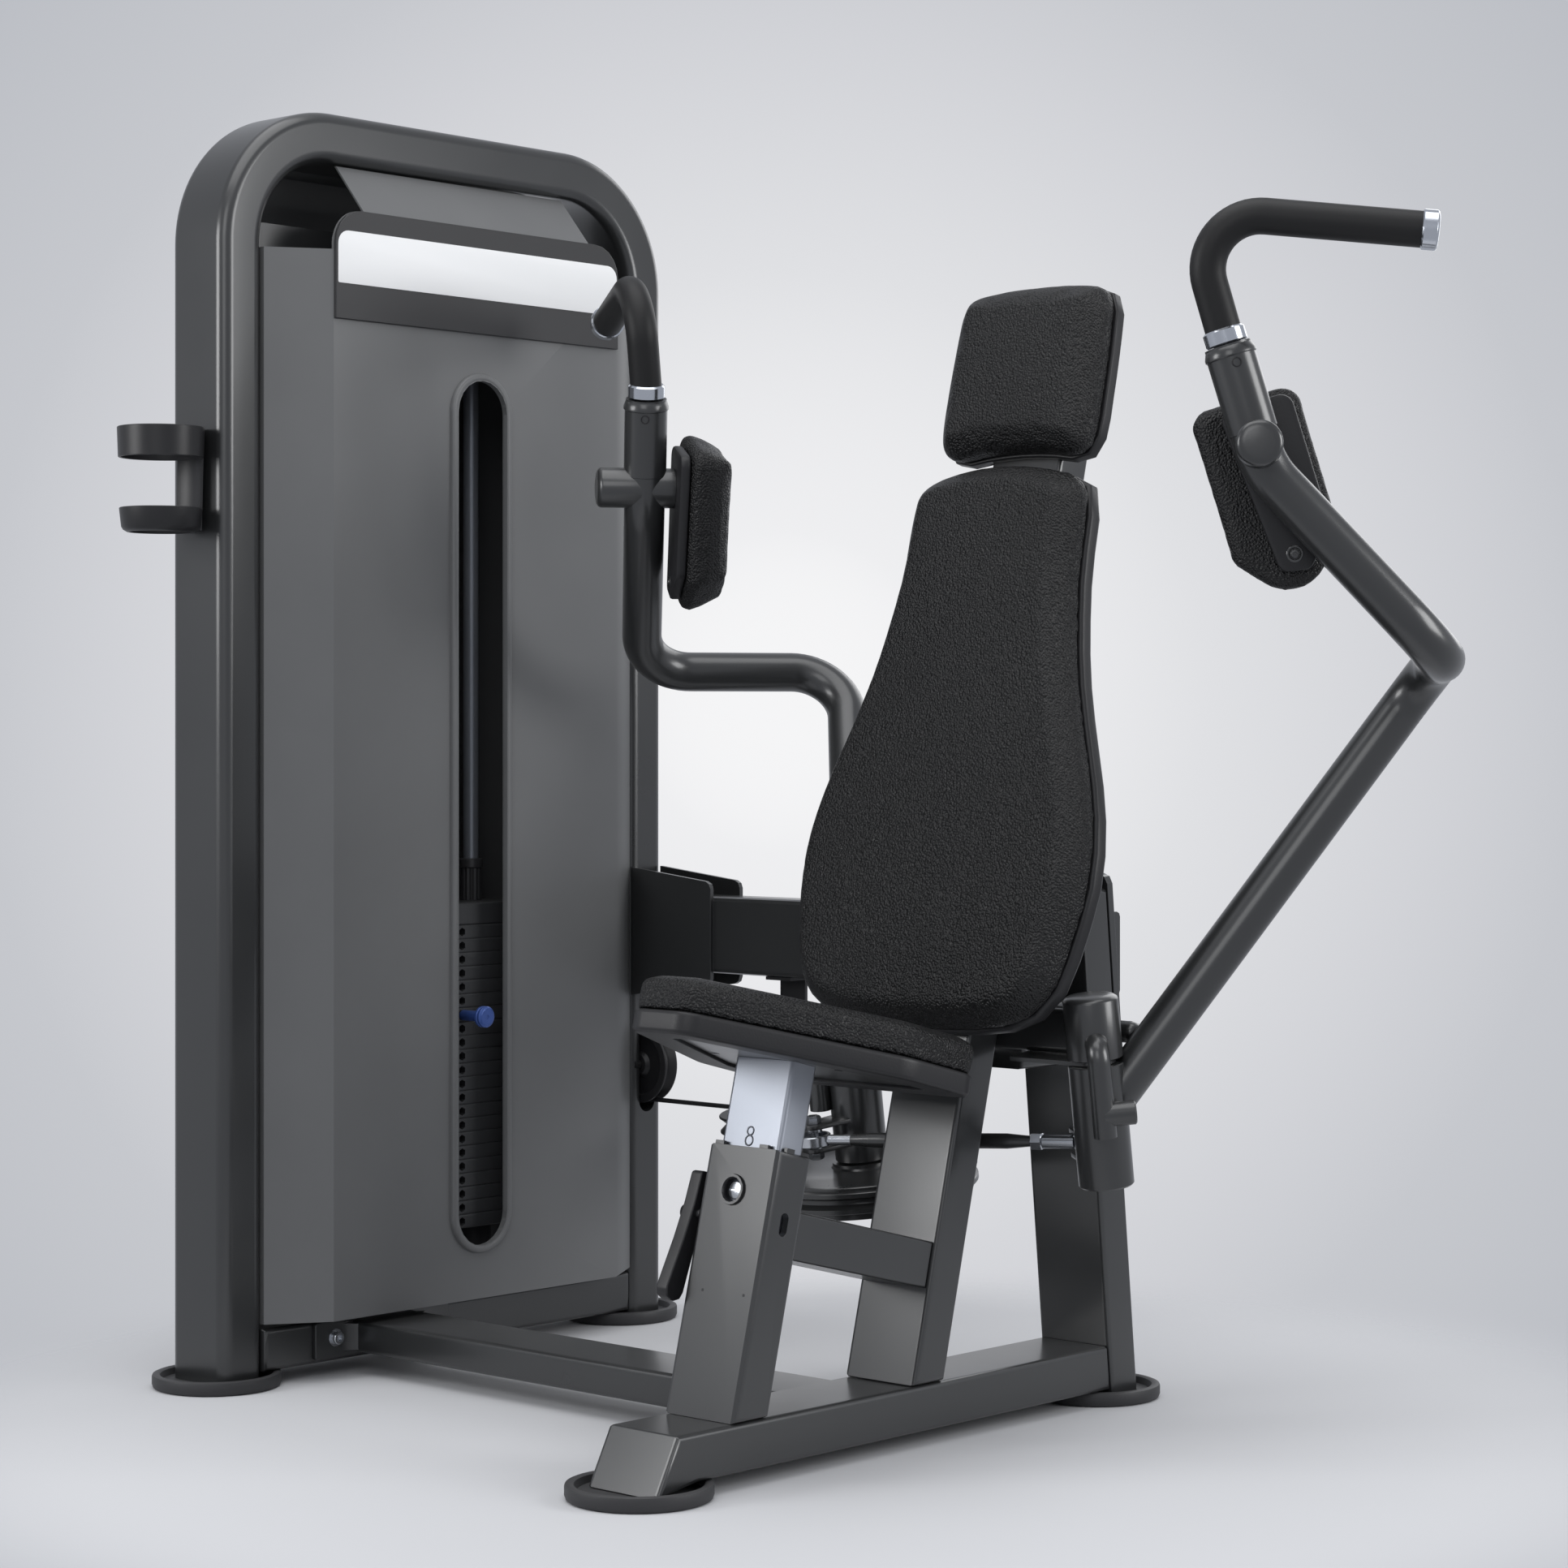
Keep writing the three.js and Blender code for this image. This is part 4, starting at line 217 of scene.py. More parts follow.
def skin(rings, closed=False):
    """A closed surface through rings of points: point j of ring i is joined to point j + 1 and to the same
    two of ring i + 1. The end rings get one cap each, or, when closed, the last ring meets the first."""
    rings = np.asarray(rings, float)
    count, sides = rings.shape[:2]
    ring = np.arange(count if closed else count - 1)[:, None]
    side = np.arange(sides)[None, :]
    above = (ring + 1) % count
    beside = (side + 1) % sides
    corners = [ring * sides + side, ring * sides + beside, above * sides + beside, above * sides + side]
    quads = np.stack(corners, -1).reshape(-1, 4)
    caps = [] if closed else [np.arange(sides)[::-1], (count - 1) * sides + np.arange(sides)]
    return rings.reshape(-1, 3), quads, caps


def dressed(piece, material, body="root", node="", sharp=SHARP):
    """Shades a piece smooth but for its sharp edges, gives it its material, ties it to its body and hides the
    node it stands for."""
    mesh = piece.data
    mesh.polygons.foreach_set("use_smooth", np.ones(len(mesh.polygons), bool))
    mesh.set_sharp_from_angle(angle=sharp)
    mesh.materials.clear()
    mesh.materials.append(material)
    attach(piece, body)
    if node:
        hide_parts(node)
    return piece


def make(name, parts, material, body="root", node="", sharp=SHARP):
    """One object from several skins given in design millimetres: the points are shifted to the row frame
    and divided by 1000, and the faces are written as one list of loops."""
    starts = np.cumsum([0] + [len(part[0]) for part in parts])
    points = (np.concatenate([part[0] for part in parts]) + DESIGN_SHIFT) / 1000
    loops = np.concatenate([cell.ravel() + start for part, start in zip(parts, starts)
                            for cell in (part[1], *part[2])])
    sizes = np.concatenate([np.array([4] * len(part[1]) + [len(cap) for cap in part[2]]) for part in parts])
    mesh = bpy.data.meshes.new(name)
    mesh.vertices.add(len(points))
    mesh.vertices.foreach_set("co", points.ravel())
    mesh.loops.add(len(loops))
    mesh.loops.foreach_set("vertex_index", loops.astype(np.int32))
    mesh.polygons.add(len(sizes))
    mesh.polygons.foreach_set("loop_start", (np.cumsum(sizes) - sizes).astype(np.int32))
    mesh.polygons.foreach_set("loop_total", sizes.astype(np.int32))
    mesh.update(calc_edges=True)
    shape = bmesh.new()
    shape.from_mesh(mesh)
    bmesh.ops.recalc_face_normals(shape, faces=shape.faces)
    shape.to_mesh(mesh)
    shape.free()
    return dressed(linked(bpy.data.objects.new(name, mesh)), material, body, node, sharp)


def turned(profile, base=(0, 0, 0), axis=UP, sides=ROUND_SIDES, closed=False):
    """A turned form: each profile row is a radius and a height along the axis, swung round the circle."""
    axis = unit(axis)
    first = unit(np.cross(axis, OFF_AXIS))
    second = np.cross(axis, first)
    angle = np.linspace(0, 2 * math.pi, sides, endpoint=False)[None, :, None]
    radius, height = np.asarray(profile, float).T[:, :, None, None]
    around = np.cos(angle) * first + np.sin(angle) * second
    return skin(np.asarray(base) + height * axis + radius * around, closed)


def surface_grain():
    """A node group for every solid finish: a fine noise gives the height of the grain, a slow noise gives
    patches of tone and gloss, and faces that look up gather a little dust where the slow noise is high."""
    group = bpy.data.node_groups.new("surface_grain", "ShaderNodeTree")
    for name, value in (("Grain Scale", 900.0), ("Patch Scale", PATCH_SCALE), ("Strength", 0.1),
                        ("Distance", 0.0003)):
        group.interface.new_socket(name, in_out="INPUT", socket_type="NodeSocketFloat").default_value = value
    for name, kind in (("Patches", "Float"), ("Dust", "Float"), ("Normal", "Vector")):
        group.interface.new_socket(name, in_out="OUTPUT", socket_type=f"NodeSocket{kind}")
    given = group.nodes.new("NodeGroupInput")
    result = group.nodes.new("NodeGroupOutput")
    where = add(group, "TexCoord")
    grain = add(group, "TexNoise", {"Detail": 2})
    patches = add(group, "TexNoise", {"Detail": 4})
    bump = add(group, "Bump")
    upward = add(group, "NewGeometry")
    split = add(group, "SeparateXYZ")
    level = add(group, "MapRange", {"From Min": 0.5})
    dust = add(group, "Math", operation="MULTIPLY")
    wire(group, (where, "Object", grain, "Vector"), (where, "Object", patches, "Vector"),
         (given, "Grain Scale", grain, "Scale"), (given, "Patch Scale", patches, "Scale"),
         (given, "Strength", bump, "Strength"), (given, "Distance", bump, "Distance"),
         (grain, "Fac", bump, "Height"), (upward, "Normal", split, "Vector"), (split, "Z", level, "Value"),
         (level, "Result", dust, 0), (patches, "Fac", dust, 1), (patches, "Fac", result, "Patches"),
         (dust, "Value", result, "Dust"), (bump, "Normal", result, "Normal"))
    return group


GRAIN = surface_grain()


def shaded(name):
    """A new material, its node tree and its shader."""
    material = bpy.data.materials.new(name)
    material.use_nodes = True
    return material, material.node_tree, material.node_tree.nodes["Principled BSDF"]


def brightened(colour, share):
    """A display colour for the shader, multiplied by a share."""
    return (*(np.array(linear(*colour)[:3]) * share).tolist(), 1)


def finish_of(name, colour, roughness, metallic=0.0, drift=0.1, gloss_drift=0.07, grain=900.0,
              strength=0.1, depth=0.0003, dust=0.1, coat=0.0, shine=0.5):
    """A solid finish: its colour drifts up and down by a share and its roughness by an amount over the slow
    patches, then a share of pale dust is laid over the faces that look up."""
    material, tree, shader = shaded(name)
    fill(shader, {"Metallic": metallic, "Specular IOR Level": shine, "Coat Weight": coat,
                  "Coat Roughness": COAT_ROUGHNESS})
    texture = add(tree, "Group", {"Grain Scale": grain, "Patch Scale": PATCH_SCALE, "Strength": strength,
                                  "Distance": depth}, node_tree=GRAIN)
    tone = add(tree, "Mix", {"A": brightened(colour, 1 - drift), "B": brightened(colour, 1 + drift)},
               data_type="RGBA")
    veil = add(tree, "Mix", {"B": DUST_COLOUR}, data_type="RGBA")
    thin = add(tree, "Math", {1: dust}, operation="MULTIPLY")
    gloss = add(tree, "MapRange", {"To Min": roughness - gloss_drift, "To Max": roughness + gloss_drift})
    wire(tree, (texture, "Patches", tone, "Factor"), (texture, "Dust", thin, 0),
         (thin, "Value", veil, "Factor"), (tone, "Result", veil, "A"), (veil, "Result", shader, "Base Color"),
         (texture, "Patches", gloss, "Value"), (gloss, "Result", shader, "Roughness"),
         (texture, "Normal", shader, "Normal"))
    return material


rubber = finish_of("rubber", (44, 44, 46), 0.55, grain=600, strength=0.2, dust=0.12)
for node, (x, y) in FEET.items():
    make(f"{node}_moulding", [turned(FOOT_PROFILE, (x, y, 0))], rubber, node=node)

# Floor tubes and beams.
# Rolled steel tube, mitred and welded, then blasted and powder coated satin charcoal.
# The coat shows a faint orange peel and gathers dust where it looks up.
CHARCOAL = (45, 46, 47)
MERGE_REACH = 0.00001
FLAT = math.radians(0.4)
EDGE_BREAK = 0.0012


def modify(piece, name, kind, **settings):
    """A new modifier of a kind on a piece, with its settings."""
    modifier = piece.modifiers.new(name, kind)
    for setting, value in settings.items():
        setattr(modifier, setting, value)
    return modifier


def from_node(node, material, body="root", sharp=SHARP, bevel=0.0):
    """A copy of a node's solid, its split corners merged, its flat faces made whole and shaded by their area.
    Where a bevel is given, the edges sharper than the shading's limit are rounded by it."""
    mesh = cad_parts[node].data.copy()
    shape = bmesh.new()
    shape.from_mesh(mesh)
    bmesh.ops.remove_doubles(shape, verts=shape.verts, dist=MERGE_REACH)
    bmesh.ops.dissolve_limit(shape, angle_limit=FLAT, verts=shape.verts, edges=shape.edges)
    shape.to_mesh(mesh)
    shape.free()
    piece = dressed(linked(bpy.data.objects.new(f"{node}_finish", mesh)), material, body, node, sharp)
    if bevel:
        modify(piece, "rounding", "BEVEL", width=bevel, segments=2, limit_method="ANGLE", angle_limit=sharp,
               harden_normals=True)
    modify(piece, "shading", "WEIGHTED_NORMAL", keep_sharp=True)
    return piece


frame_paint = finish_of("frame_paint", CHARCOAL, 0.3, metallic=0.25, strength=0.02, depth=0.0002, coat=0.3,
                        shine=0.8)
for node in ("tower_base_tube", "connecting_beam", "seat_base_beam"):
    from_node(node, frame_paint, bevel=EDGE_BREAK)

# Tower hoop.
# One 100 by 60 tube bent twice into the tower's two legs and its rounded top, coated as the floor tubes.
# A slot is cut in the far leg's front wall for the low pulley, and two welded ears hold its axle.
X_AXIS = (1.0, 0.0, 0.0)
Y_AXIS = (0.0, 1.0, 0.0)
# Two sets of axes for a flat outline: across, up, and the way it is drawn out.
FRONTAL = (Y_AXIS, UP, X_AXIS)
SIDEWAYS = (X_AXIS, UP, Y_AXIS)
HOOP_X = -793
LEG_Y = 331
HOOP_TOP = 1470
HOOP_BEND = 137
HOOP_WIDE = 100
HOOP_DEEP = 60
HOOP_EDGE = 15
LEG_FOOT = 8
SLOT_HALF = 14
SLOT_LOW = 272
SLOT_HIGH = 402
EAR_BACK = -768
EAR_FRONT = -744
EAR_LOW = 316
EAR_HIGH = 352
EAR_THICK = 5
LOW_PULLEY = (-748, 331, 333.52)
AXLE_RADIUS = 6
AXLE_HALF = 21


def bent(corners, bends, steps=10):
    """A path of straight legs joined by arcs: at each corner the arc's centre lies on the inward bisector,
    and its points go in equal angles from the leg that arrives to the leg that leaves."""
    corners = np.asarray(corners, float)
    pieces = [corners[:1]]
    for before, here, after, radius in zip(corners[:-2], corners[1:-1], corners[2:], bends):
        arrive = unit(here - before)
        leave = unit(after - here)
        half = math.acos(float(np.clip(arrive @ leave, -1, 1))) / 2
        start = here - arrive * radius * math.tan(half)
        centre = here + unit(leave - arrive) * radius / math.cos(half)
        turn = np.linspace(0, 2 * half, steps + 1)[:, None]
        pieces.append(centre + radius * (np.cos(turn) * unit(start - centre) + np.sin(turn) * arrive))
    pieces.append(corners[-1:])
    return np.concatenate(pieces)


def outline_of(corners, steps=6):
    """A closed flat outline: each corner (a, b, radius) is rounded by an arc that touches both its sides."""
    corners = np.asarray(corners, float)
    ring = np.concatenate([corners[-1:], corners, corners[:1]])
    flat = np.column_stack([ring[:, :2], np.zeros(len(ring))])
    points = bent(flat, ring[1:-1, 2], steps)[1:-1, :2]
    return points[np.linalg.norm(points - np.roll(points, 1, 0), axis=1) > 0.001]


def oblong(left, low, right, high, radius, steps=6):
    """A rectangle's outline with rounded corners: one radius for all, or four of them, anticlockwise from
    the low corner on the left."""
    places = [(left, low), (right, low), (right, high), (left, high)]
    return outline_of(np.column_stack([places, np.broadcast_to(radius, 4)]), steps)


def forwards(path):
    """The direction at each point of a path: the mean of the directions of the two legs that meet there."""
    legs = unit(np.diff(path, axis=0))
    return unit(np.concatenate([legs[:1], legs[:-1] + legs[1:], legs[-1:]]))


def along(path, section, across=UP, sides=32):
    """Rings of a section along a path: its first axis is square to the path and to across, and its second
    is square to both. A number stands for a round section of that radius."""
    ahead = forwards(path)
    side = unit(np.cross(ahead, across))
    up = np.cross(side, ahead)
    if np.ndim(section) == 0:
        angle = np.linspace(0, 2 * math.pi, sides, endpoint=False)
        section = np.stack([np.cos(angle), np.sin(angle)], 1) * section
    return skin(path[:, None] + section[None, :, :1] * side[:, None] + section[None, :, 1:] * up[:, None])


def inset(outline, distance):
    """An outline drawn in: each point moves along the mean of its two sides' normals, by more where the
    corner is sharper, so that each side moves in by the distance."""
    ahead = unit(np.roll(outline, -1, 0) - outline)
    normal = np.stack([-ahead[:, 1], ahead[:, 0]], 1)
    before = np.roll(normal, 1, 0)
    turn = np.sum(np.roll(outline, -1, 0) * outline[:, ::-1] * [-1, 1], 1).sum()
    return outline + np.sign(turn) * distance * (normal + before) / (1 + np.sum(normal * before, 1))[:, None]


def placed(levels, origin, axes):
    """A skin through flat rings, each at its level: the rings lie on the first two axes, and the levels are
    distances along the third."""
    first, second, third = np.asarray(axes, float)
    return skin([np.asarray(origin, float) + ring[:, :1] * first + ring[:, 1:] * second + level * third
                 for ring, level in levels])


def drawn(outline, low, high, axes, edge=1.0, origin=(0, 0, 0)):
    """An outline drawn out along its third axis from low to high, with its two end edges bevelled."""
    levels = [(low, edge), (low + edge * 0.3, edge * 0.3), (low + edge, 0), (high - edge, 0),
              (high - edge * 0.3, edge * 0.3), (high, edge)]
    return placed([(inset(outline, drawn_in), level) for level, drawn_in in levels], origin, axes)


def carve(piece, name, parts, sharp=SHARP):
    """Cuts skins out of a piece with an exact boolean, and leaves the result in the piece's mesh."""
    piece.modifiers.clear()
    tool = make(name, parts, piece.data.materials[0])
    modify(piece, "cut", "BOOLEAN", operation="DIFFERENCE", solver="EXACT", object=tool)
    cut_mesh = bpy.data.meshes.new_from_object(piece.evaluated_get(bpy.context.evaluated_depsgraph_get()))
    piece.modifiers.clear()
    piece.data = cut_mesh
    piece.data.set_sharp_from_angle(angle=sharp)
    modify(piece, "shading", "WEIGHTED_NORMAL", keep_sharp=True)
    bpy.data.objects.remove(tool)


def both_ends(rows):
    """A profile whose second half is the first one mirrored at the height 0, where a row is kept once."""
    return [*rows, *((radius, -height) for radius, height in rows[::-1] if height)]


hoop_section = oblong(-HOOP_DEEP / 2, -HOOP_WIDE / 2, HOOP_DEEP / 2, HOOP_WIDE / 2, HOOP_EDGE)
hoop_path = bent([(HOOP_X, -LEG_Y, LEG_FOOT), (HOOP_X, -LEG_Y, HOOP_TOP), (HOOP_X, LEG_Y, HOOP_TOP),
                  (HOOP_X, LEG_Y, LEG_FOOT)], [HOOP_BEND, HOOP_BEND], 28)
hoop = make("tower_hoop", [along(hoop_path, hoop_section, X_AXIS)], frame_paint, node="tower_frame")
leg_slot = oblong(LEG_Y - SLOT_HALF, SLOT_LOW, LEG_Y + SLOT_HALF, SLOT_HIGH, SLOT_HALF, 10)
carve(hoop, "slot_cutter", [drawn(leg_slot, HOOP_X - 40, HOOP_X + HOOP_WIDE / 2 + 5, FRONTAL)])
ear = oblong(EAR_BACK, EAR_LOW, EAR_FRONT, EAR_HIGH, (9, 4, 4, 9))
ears = [drawn(ear, low, low + EAR_THICK, SIDEWAYS, 0.5)
        for low in (LEG_Y - SLOT_HALF - EAR_THICK, LEG_Y + SLOT_HALF)]
axle = turned(both_ends([(AXLE_RADIUS, -AXLE_HALF)]), LOW_PULLEY, Y_AXIS, 24)
make("low_pulley_ears", [*ears, axle], frame_paint)

# Weight stack.
# Cut steel plates with chamfered edges and drilled pin holes, black oxide, slightly rubbed.
# They slide on two chromed rods over rubber bumpers, and a blue pin picks how many are lifted.
PLATE_SHARP = math.radians(24)
ROD_RADIUS = 9.5
ROD_SIDE = 69
ROD_SIDES = ((-1, "near"), (1, "far"))
ROD_LOW = 67.3
ROD_HIGH = 1239.7
BUMPER_RADIUS = 25
BUMPER_BORE = 10
BUMPER_HIGH = 154.7
BUMPER_PROFILE = [
    (BUMPER_BORE, ROD_LOW), (BUMPER_RADIUS - 1, ROD_LOW), (BUMPER_RADIUS, ROD_LOW + 1.5),
    (BUMPER_RADIUS, 104), (BUMPER_RADIUS - 1.6, 106), (BUMPER_RADIUS - 1.6, 109), (BUMPER_RADIUS, 111),
    (BUMPER_RADIUS, BUMPER_HIGH - 5), (BUMPER_RADIUS - 1.5, BUMPER_HIGH - 1.5),
    (BUMPER_RADIUS - 5, BUMPER_HIGH), (BUMPER_BORE, BUMPER_HIGH)]
BUSH_LOW = 554.2
BUSH_HIGH = 68
BUSH_RADIUS = 17
BUSH_RIBS = 4
RIB = BUSH_HIGH / (2 * BUSH_RIBS)
RIB_ROWS = [(-1, 0), (0, 1.2), (0, RIB - 1.2), (-1, RIB), (-2, RIB), (-2, 2 * RIB)]
GUIDE_BORE = ROD_RADIUS + 0.6
GUIDE_RADIUS = 13.4
GUIDE_HEAD = [(GUIDE_BORE, 40), (13.8, 40), (15, 41.2), (15, 50.8), (13.8, 52), (GUIDE_BORE, 52)]
FLUTES = 14
FLUTE_DEPTH = 1.4
FLUTED_LOW = 0.1
FLUTED_HIGH = 40
PIN_Z = 416.95
KNOB_FACE = -687
KNOB_RADIUS = 13
PIN_PROFILE = [
    (4, -117), (4.5, -116), (4.5, -44), (6.5, -43.5), (6.5, -11), (KNOB_RADIUS - 1.2, -11),
    (KNOB_RADIUS, -9.8), (KNOB_RADIUS, -7), (KNOB_RADIUS - 0.7, -6.3), (KNOB_RADIUS - 0.7, -5),
    (KNOB_RADIUS, -4.3), (KNOB_RADIUS, -2.2), (KNOB_RADIUS - 2, -0.3), (KNOB_RADIUS - 4, 0),
    (2.6, 0), (2.2, -0.8)]


def fluted(base, bore, radius, depth, flutes, low, high, sides=96):
    """A fluted sleeve: its outer radius falls by the depth times half of one plus the cosine of the flutes
    times the angle, between a round bore and two flat ends."""
    angle = np.linspace(0, 2 * math.pi, sides, endpoint=False)
    outer = radius - depth * (0.5 + 0.5 * np.cos(flutes * angle))
    rings = [np.stack([reach * np.cos(angle), reach * np.sin(angle), np.full(sides, float(height))], 1)
             for reach, height in ((bore, low), (outer, low), (outer, high), (bore, high))]
    return skin(np.asarray(base, float) + np.array(rings), True)


def rod(radius, low, high, edge):
    """A rod's profile from low to high, with both its end edges chamfered."""
    return [(radius - edge, low), (radius, low + edge), (radius, high - edge), (radius - edge, high)]


plate_steel = finish_of("plate_steel", (62, 63, 65), 0.36, metallic=0.3, grain=380, strength=0.18, dust=0.14)
guide_steel = finish_of("guide_steel", (138, 142, 150), 0.36, metallic=0.5, drift=0.05, grain=1500,
                        strength=0.03, dust=0.0)
bush_plastic = finish_of("bush_plastic", (56, 56, 58), 0.4, grain=700, dust=0.05)
rod_steel = finish_of("rod_steel", (196, 200, 207), 0.16, metallic=1.0, drift=0.05, gloss_drift=0.05,
                      grain=1500, strength=0.03, dust=0.0)
black_plastic = finish_of("black_plastic", (29, 29, 31), 0.4, grain=700, strength=0.12, dust=0.06, shine=0.4)
pin_blue = finish_of("pin_blue", (58, 84, 150), 0.3, metallic=0.3, grain=1200, strength=0.05, dust=0.05)

for node, body in (("lower_plates", "root"), ("lifted_plates", "stack"), ("top_plate", "stack")):
    from_node(node, plate_steel, body, sharp=PLATE_SHARP)
from_node("rod_top_bar", frame_paint)
for side, name in ROD_SIDES:
    foot = (HOOP_X, side * ROD_SIDE, 0)
    make(f"guide_rod_{name}_polished", [turned(rod(ROD_RADIUS, ROD_LOW, ROD_HIGH, 1), foot)], guide_steel,
         node=f"guide_rod_{name}")
    make(f"stack_bumper_{name}_moulding", [turned(BUMPER_PROFILE, foot, closed=True)], rubber,
         node=f"stack_bumper_{name}")
bush_profile = [(BUSH_RADIUS + out, 2 * rib * RIB + up) for rib in range(BUSH_RIBS) for out, up in RIB_ROWS]
bush_profile[-1:] = [(BUSH_RADIUS - 2, BUSH_HIGH - 1), (4, BUSH_HIGH)]
make("stack_bush_moulding", [turned(bush_profile, (HOOP_X, 0, BUSH_LOW))], bush_plastic, "stack",
     "stack_bush")
for side, name in ROD_SIDES:
    foot = (HOOP_X, side * ROD_SIDE, BUSH_LOW)
    ribbed = fluted(foot, GUIDE_BORE, GUIDE_RADIUS, FLUTE_DEPTH, FLUTES, FLUTED_LOW, FLUTED_HIGH)
    make(f"rod_bush_{name}", [ribbed, turned(GUIDE_HEAD, foot, closed=True)], bush_plastic, "stack")
make("selector_pin_turned", [turned(PIN_PROFILE, (KNOB_FACE, 0, PIN_Z), X_AXIS)], pin_blue, "selector_pin",
     "selector_pin")

# Cross member, pulleys and cable.
# A folded channel between the legs carries two nylon pulleys on bolts, and a third turns in the far leg.
# The black jacketed cable runs from the stack over them to the pulley under the beam and to the arm's wheel.
QUARTER = math.pi / 2
PULLEY_PITCH = 45
PULLEY_PROFILE = both_ends([
    (6.3, -11), (13, -11), (14, -10), (17, -6.4), (35, -6.4), (38, -7.4), (40, -11), (49, -11), (50, -10.2),
    (50, -8.6), (43.4, -2.6), (42, -1), (41.7, 0)])
CABLE_RADIUS = 3
TOP_OUTER = (HOOP_X, 286, 1305)
TOP_CENTRE = (HOOP_X, 45, 1305)
REDIRECT = (-501, 286.46, 282.105)
PIVOT_TILT = math.radians(8.2)
PIVOT_AXIS = np.array([0, -math.sin(PIVOT_TILT), math.cos(PIVOT_TILT)])
BACKWARDS = np.array([0, math.cos(PIVOT_TILT), math.sin(PIVOT_TILT)])
WHEEL_GROOVE = -74
WHEEL_MIDDLE = np.array([-175, 100, 330]) + PIVOT_AXIS * WHEEL_GROOVE
WHEEL_PITCH = 125
DROP_LOW = 623.2
DROP_HIGH = 1304


def arc(centre, radius, start, end, first, second, steps):
    """Points of an arc: the centre, plus the radius times the cosine of each angle along the first axis and
    its sine along the second."""
    angle = np.linspace(start, end, steps + 1)[:, None]
    first, second = np.asarray(first), np.asarray(second)
    return np.asarray(centre) + radius * (np.cos(angle) * first + np.sin(angle) * second)


cable_jacket = finish_of("cable_jacket", (30, 30, 32), 0.34, grain=1800, dust=0.05)
from_node("top_cross_member", frame_paint)
for name, place, axis in (("pulley_low", LOW_PULLEY, Y_AXIS), ("pulley_redirect", REDIRECT, PIVOT_AXIS),
                          ("pulley_top_outer", TOP_OUTER, X_AXIS), ("pulley_top_centre", TOP_CENTRE, X_AXIS)):
    make(f"{name}_moulding", [turned(PULLEY_PROFILE, place, axis, 48, True)], black_plastic, name, name)

# The run to the wheel crosses between the two pitch circles, so its angle comes from the sum of their radii.
span = np.array([WHEEL_MIDDLE[0] - REDIRECT[0], -(REDIRECT[1] - WHEEL_MIDDLE[1]) / BACKWARDS[1]])
run_angle = math.atan2(span[1], span[0]) - math.asin((WHEEL_PITCH + PULLEY_PITCH) / float(np.hypot(*span)))
leave = run_angle + QUARTER
cable_path = np.concatenate([
    arc(WHEEL_MIDDLE, WHEEL_PITCH + 1, leave - math.pi, leave - math.pi, X_AXIS, BACKWARDS, 0),
    arc(REDIRECT, PULLEY_PITCH, leave, QUARTER, X_AXIS, BACKWARDS, 20),
    arc(LOW_PULLEY, PULLEY_PITCH, -QUARTER, -math.pi, X_AXIS, UP, 20),
    arc(TOP_OUTER, PULLEY_PITCH, 0, QUARTER, Y_AXIS, UP, 20),
    arc(TOP_CENTRE, PULLEY_PITCH, QUARTER, math.pi, Y_AXIS, UP, 20)])
make("cable_run_jacket", [along(cable_path, CABLE_RADIUS, unit((0.3, 0.5, 0.81)))], cable_jacket,
     node="cable_run")
bracket_bolt = both_ends([(9, -19), (10, -18), (10, -14.5), (5, -14.5)])
make("redirect_bracket_bolt", [turned(bracket_bolt, REDIRECT, PIVOT_AXIS, 6)], rod_steel)

drop = turned(rod(CABLE_RADIUS, DROP_LOW, DROP_HIGH, 0.5), (HOOP_X, 0, 0), sides=32)
cable_drop = make("cable_drop_jacket", [drop], cable_jacket, node="cable_drop")
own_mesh(cable_drop)

# Shrouds and placard.
# Two folded steel sheets close the stack, coated a lighter charcoal with a fine texture.
# The front one has a long window with a pressed rim, and a board above it holds a plain pale field.
FOLD_SHARP = math.radians(20)
RIM_SHARP = math.radians(60)
SHROUD_FACE = -700
WINDOW_HALF = 40
WINDOW_LOW = 138
WINDOW_HIGH = 1192
RIM_WALL = 9
RIM_STAND = 5.4
# Each rim row is a distance out from the window's edge and one in front of the sheet.
RIM_ROWS = [(-0.2, -3.2), (-0.2, RIM_STAND - 1.5), (1.2, RIM_STAND), (RIM_WALL - 2, RIM_STAND),
            (RIM_WALL - 0.4, RIM_STAND - 1.5), (RIM_WALL + 0.3, 0.05), (RIM_WALL - 3, -0.2), (1, -3.2)]
BOARD_FACE = -695.7
BOARD_HALF = 232
BOARD_TOP = 1378
BOARD_CORNER = 40
FIELD_HALF = 229
FIELD_LOW = 1291
FIELD_HIGH = 1353
LIP_BACK = -872.5
LIP_FRONT = -843.5
LIP_LOW = 1437
LIP_RISE = 6
LIP_THICK = 3
LIP_HALF = 192

shroud_paint = finish_of("shroud_paint", (102, 103, 104), 0.44, metallic=0.15, grain=1100, strength=0.22)
board_paint = finish_of("board", (38, 38, 40), 0.5)
field_paint = finish_of("pale_field", (236, 237, 238), 0.42, grain=500, strength=0.04, dust=0.0, drift=0.02)
from_node("rear_shroud", shroud_paint, sharp=FOLD_SHARP)
front_sheet = from_node("front_shroud", shroud_paint, sharp=FOLD_SHARP)
from_node("placard_board", board_paint, bevel=0.0008)

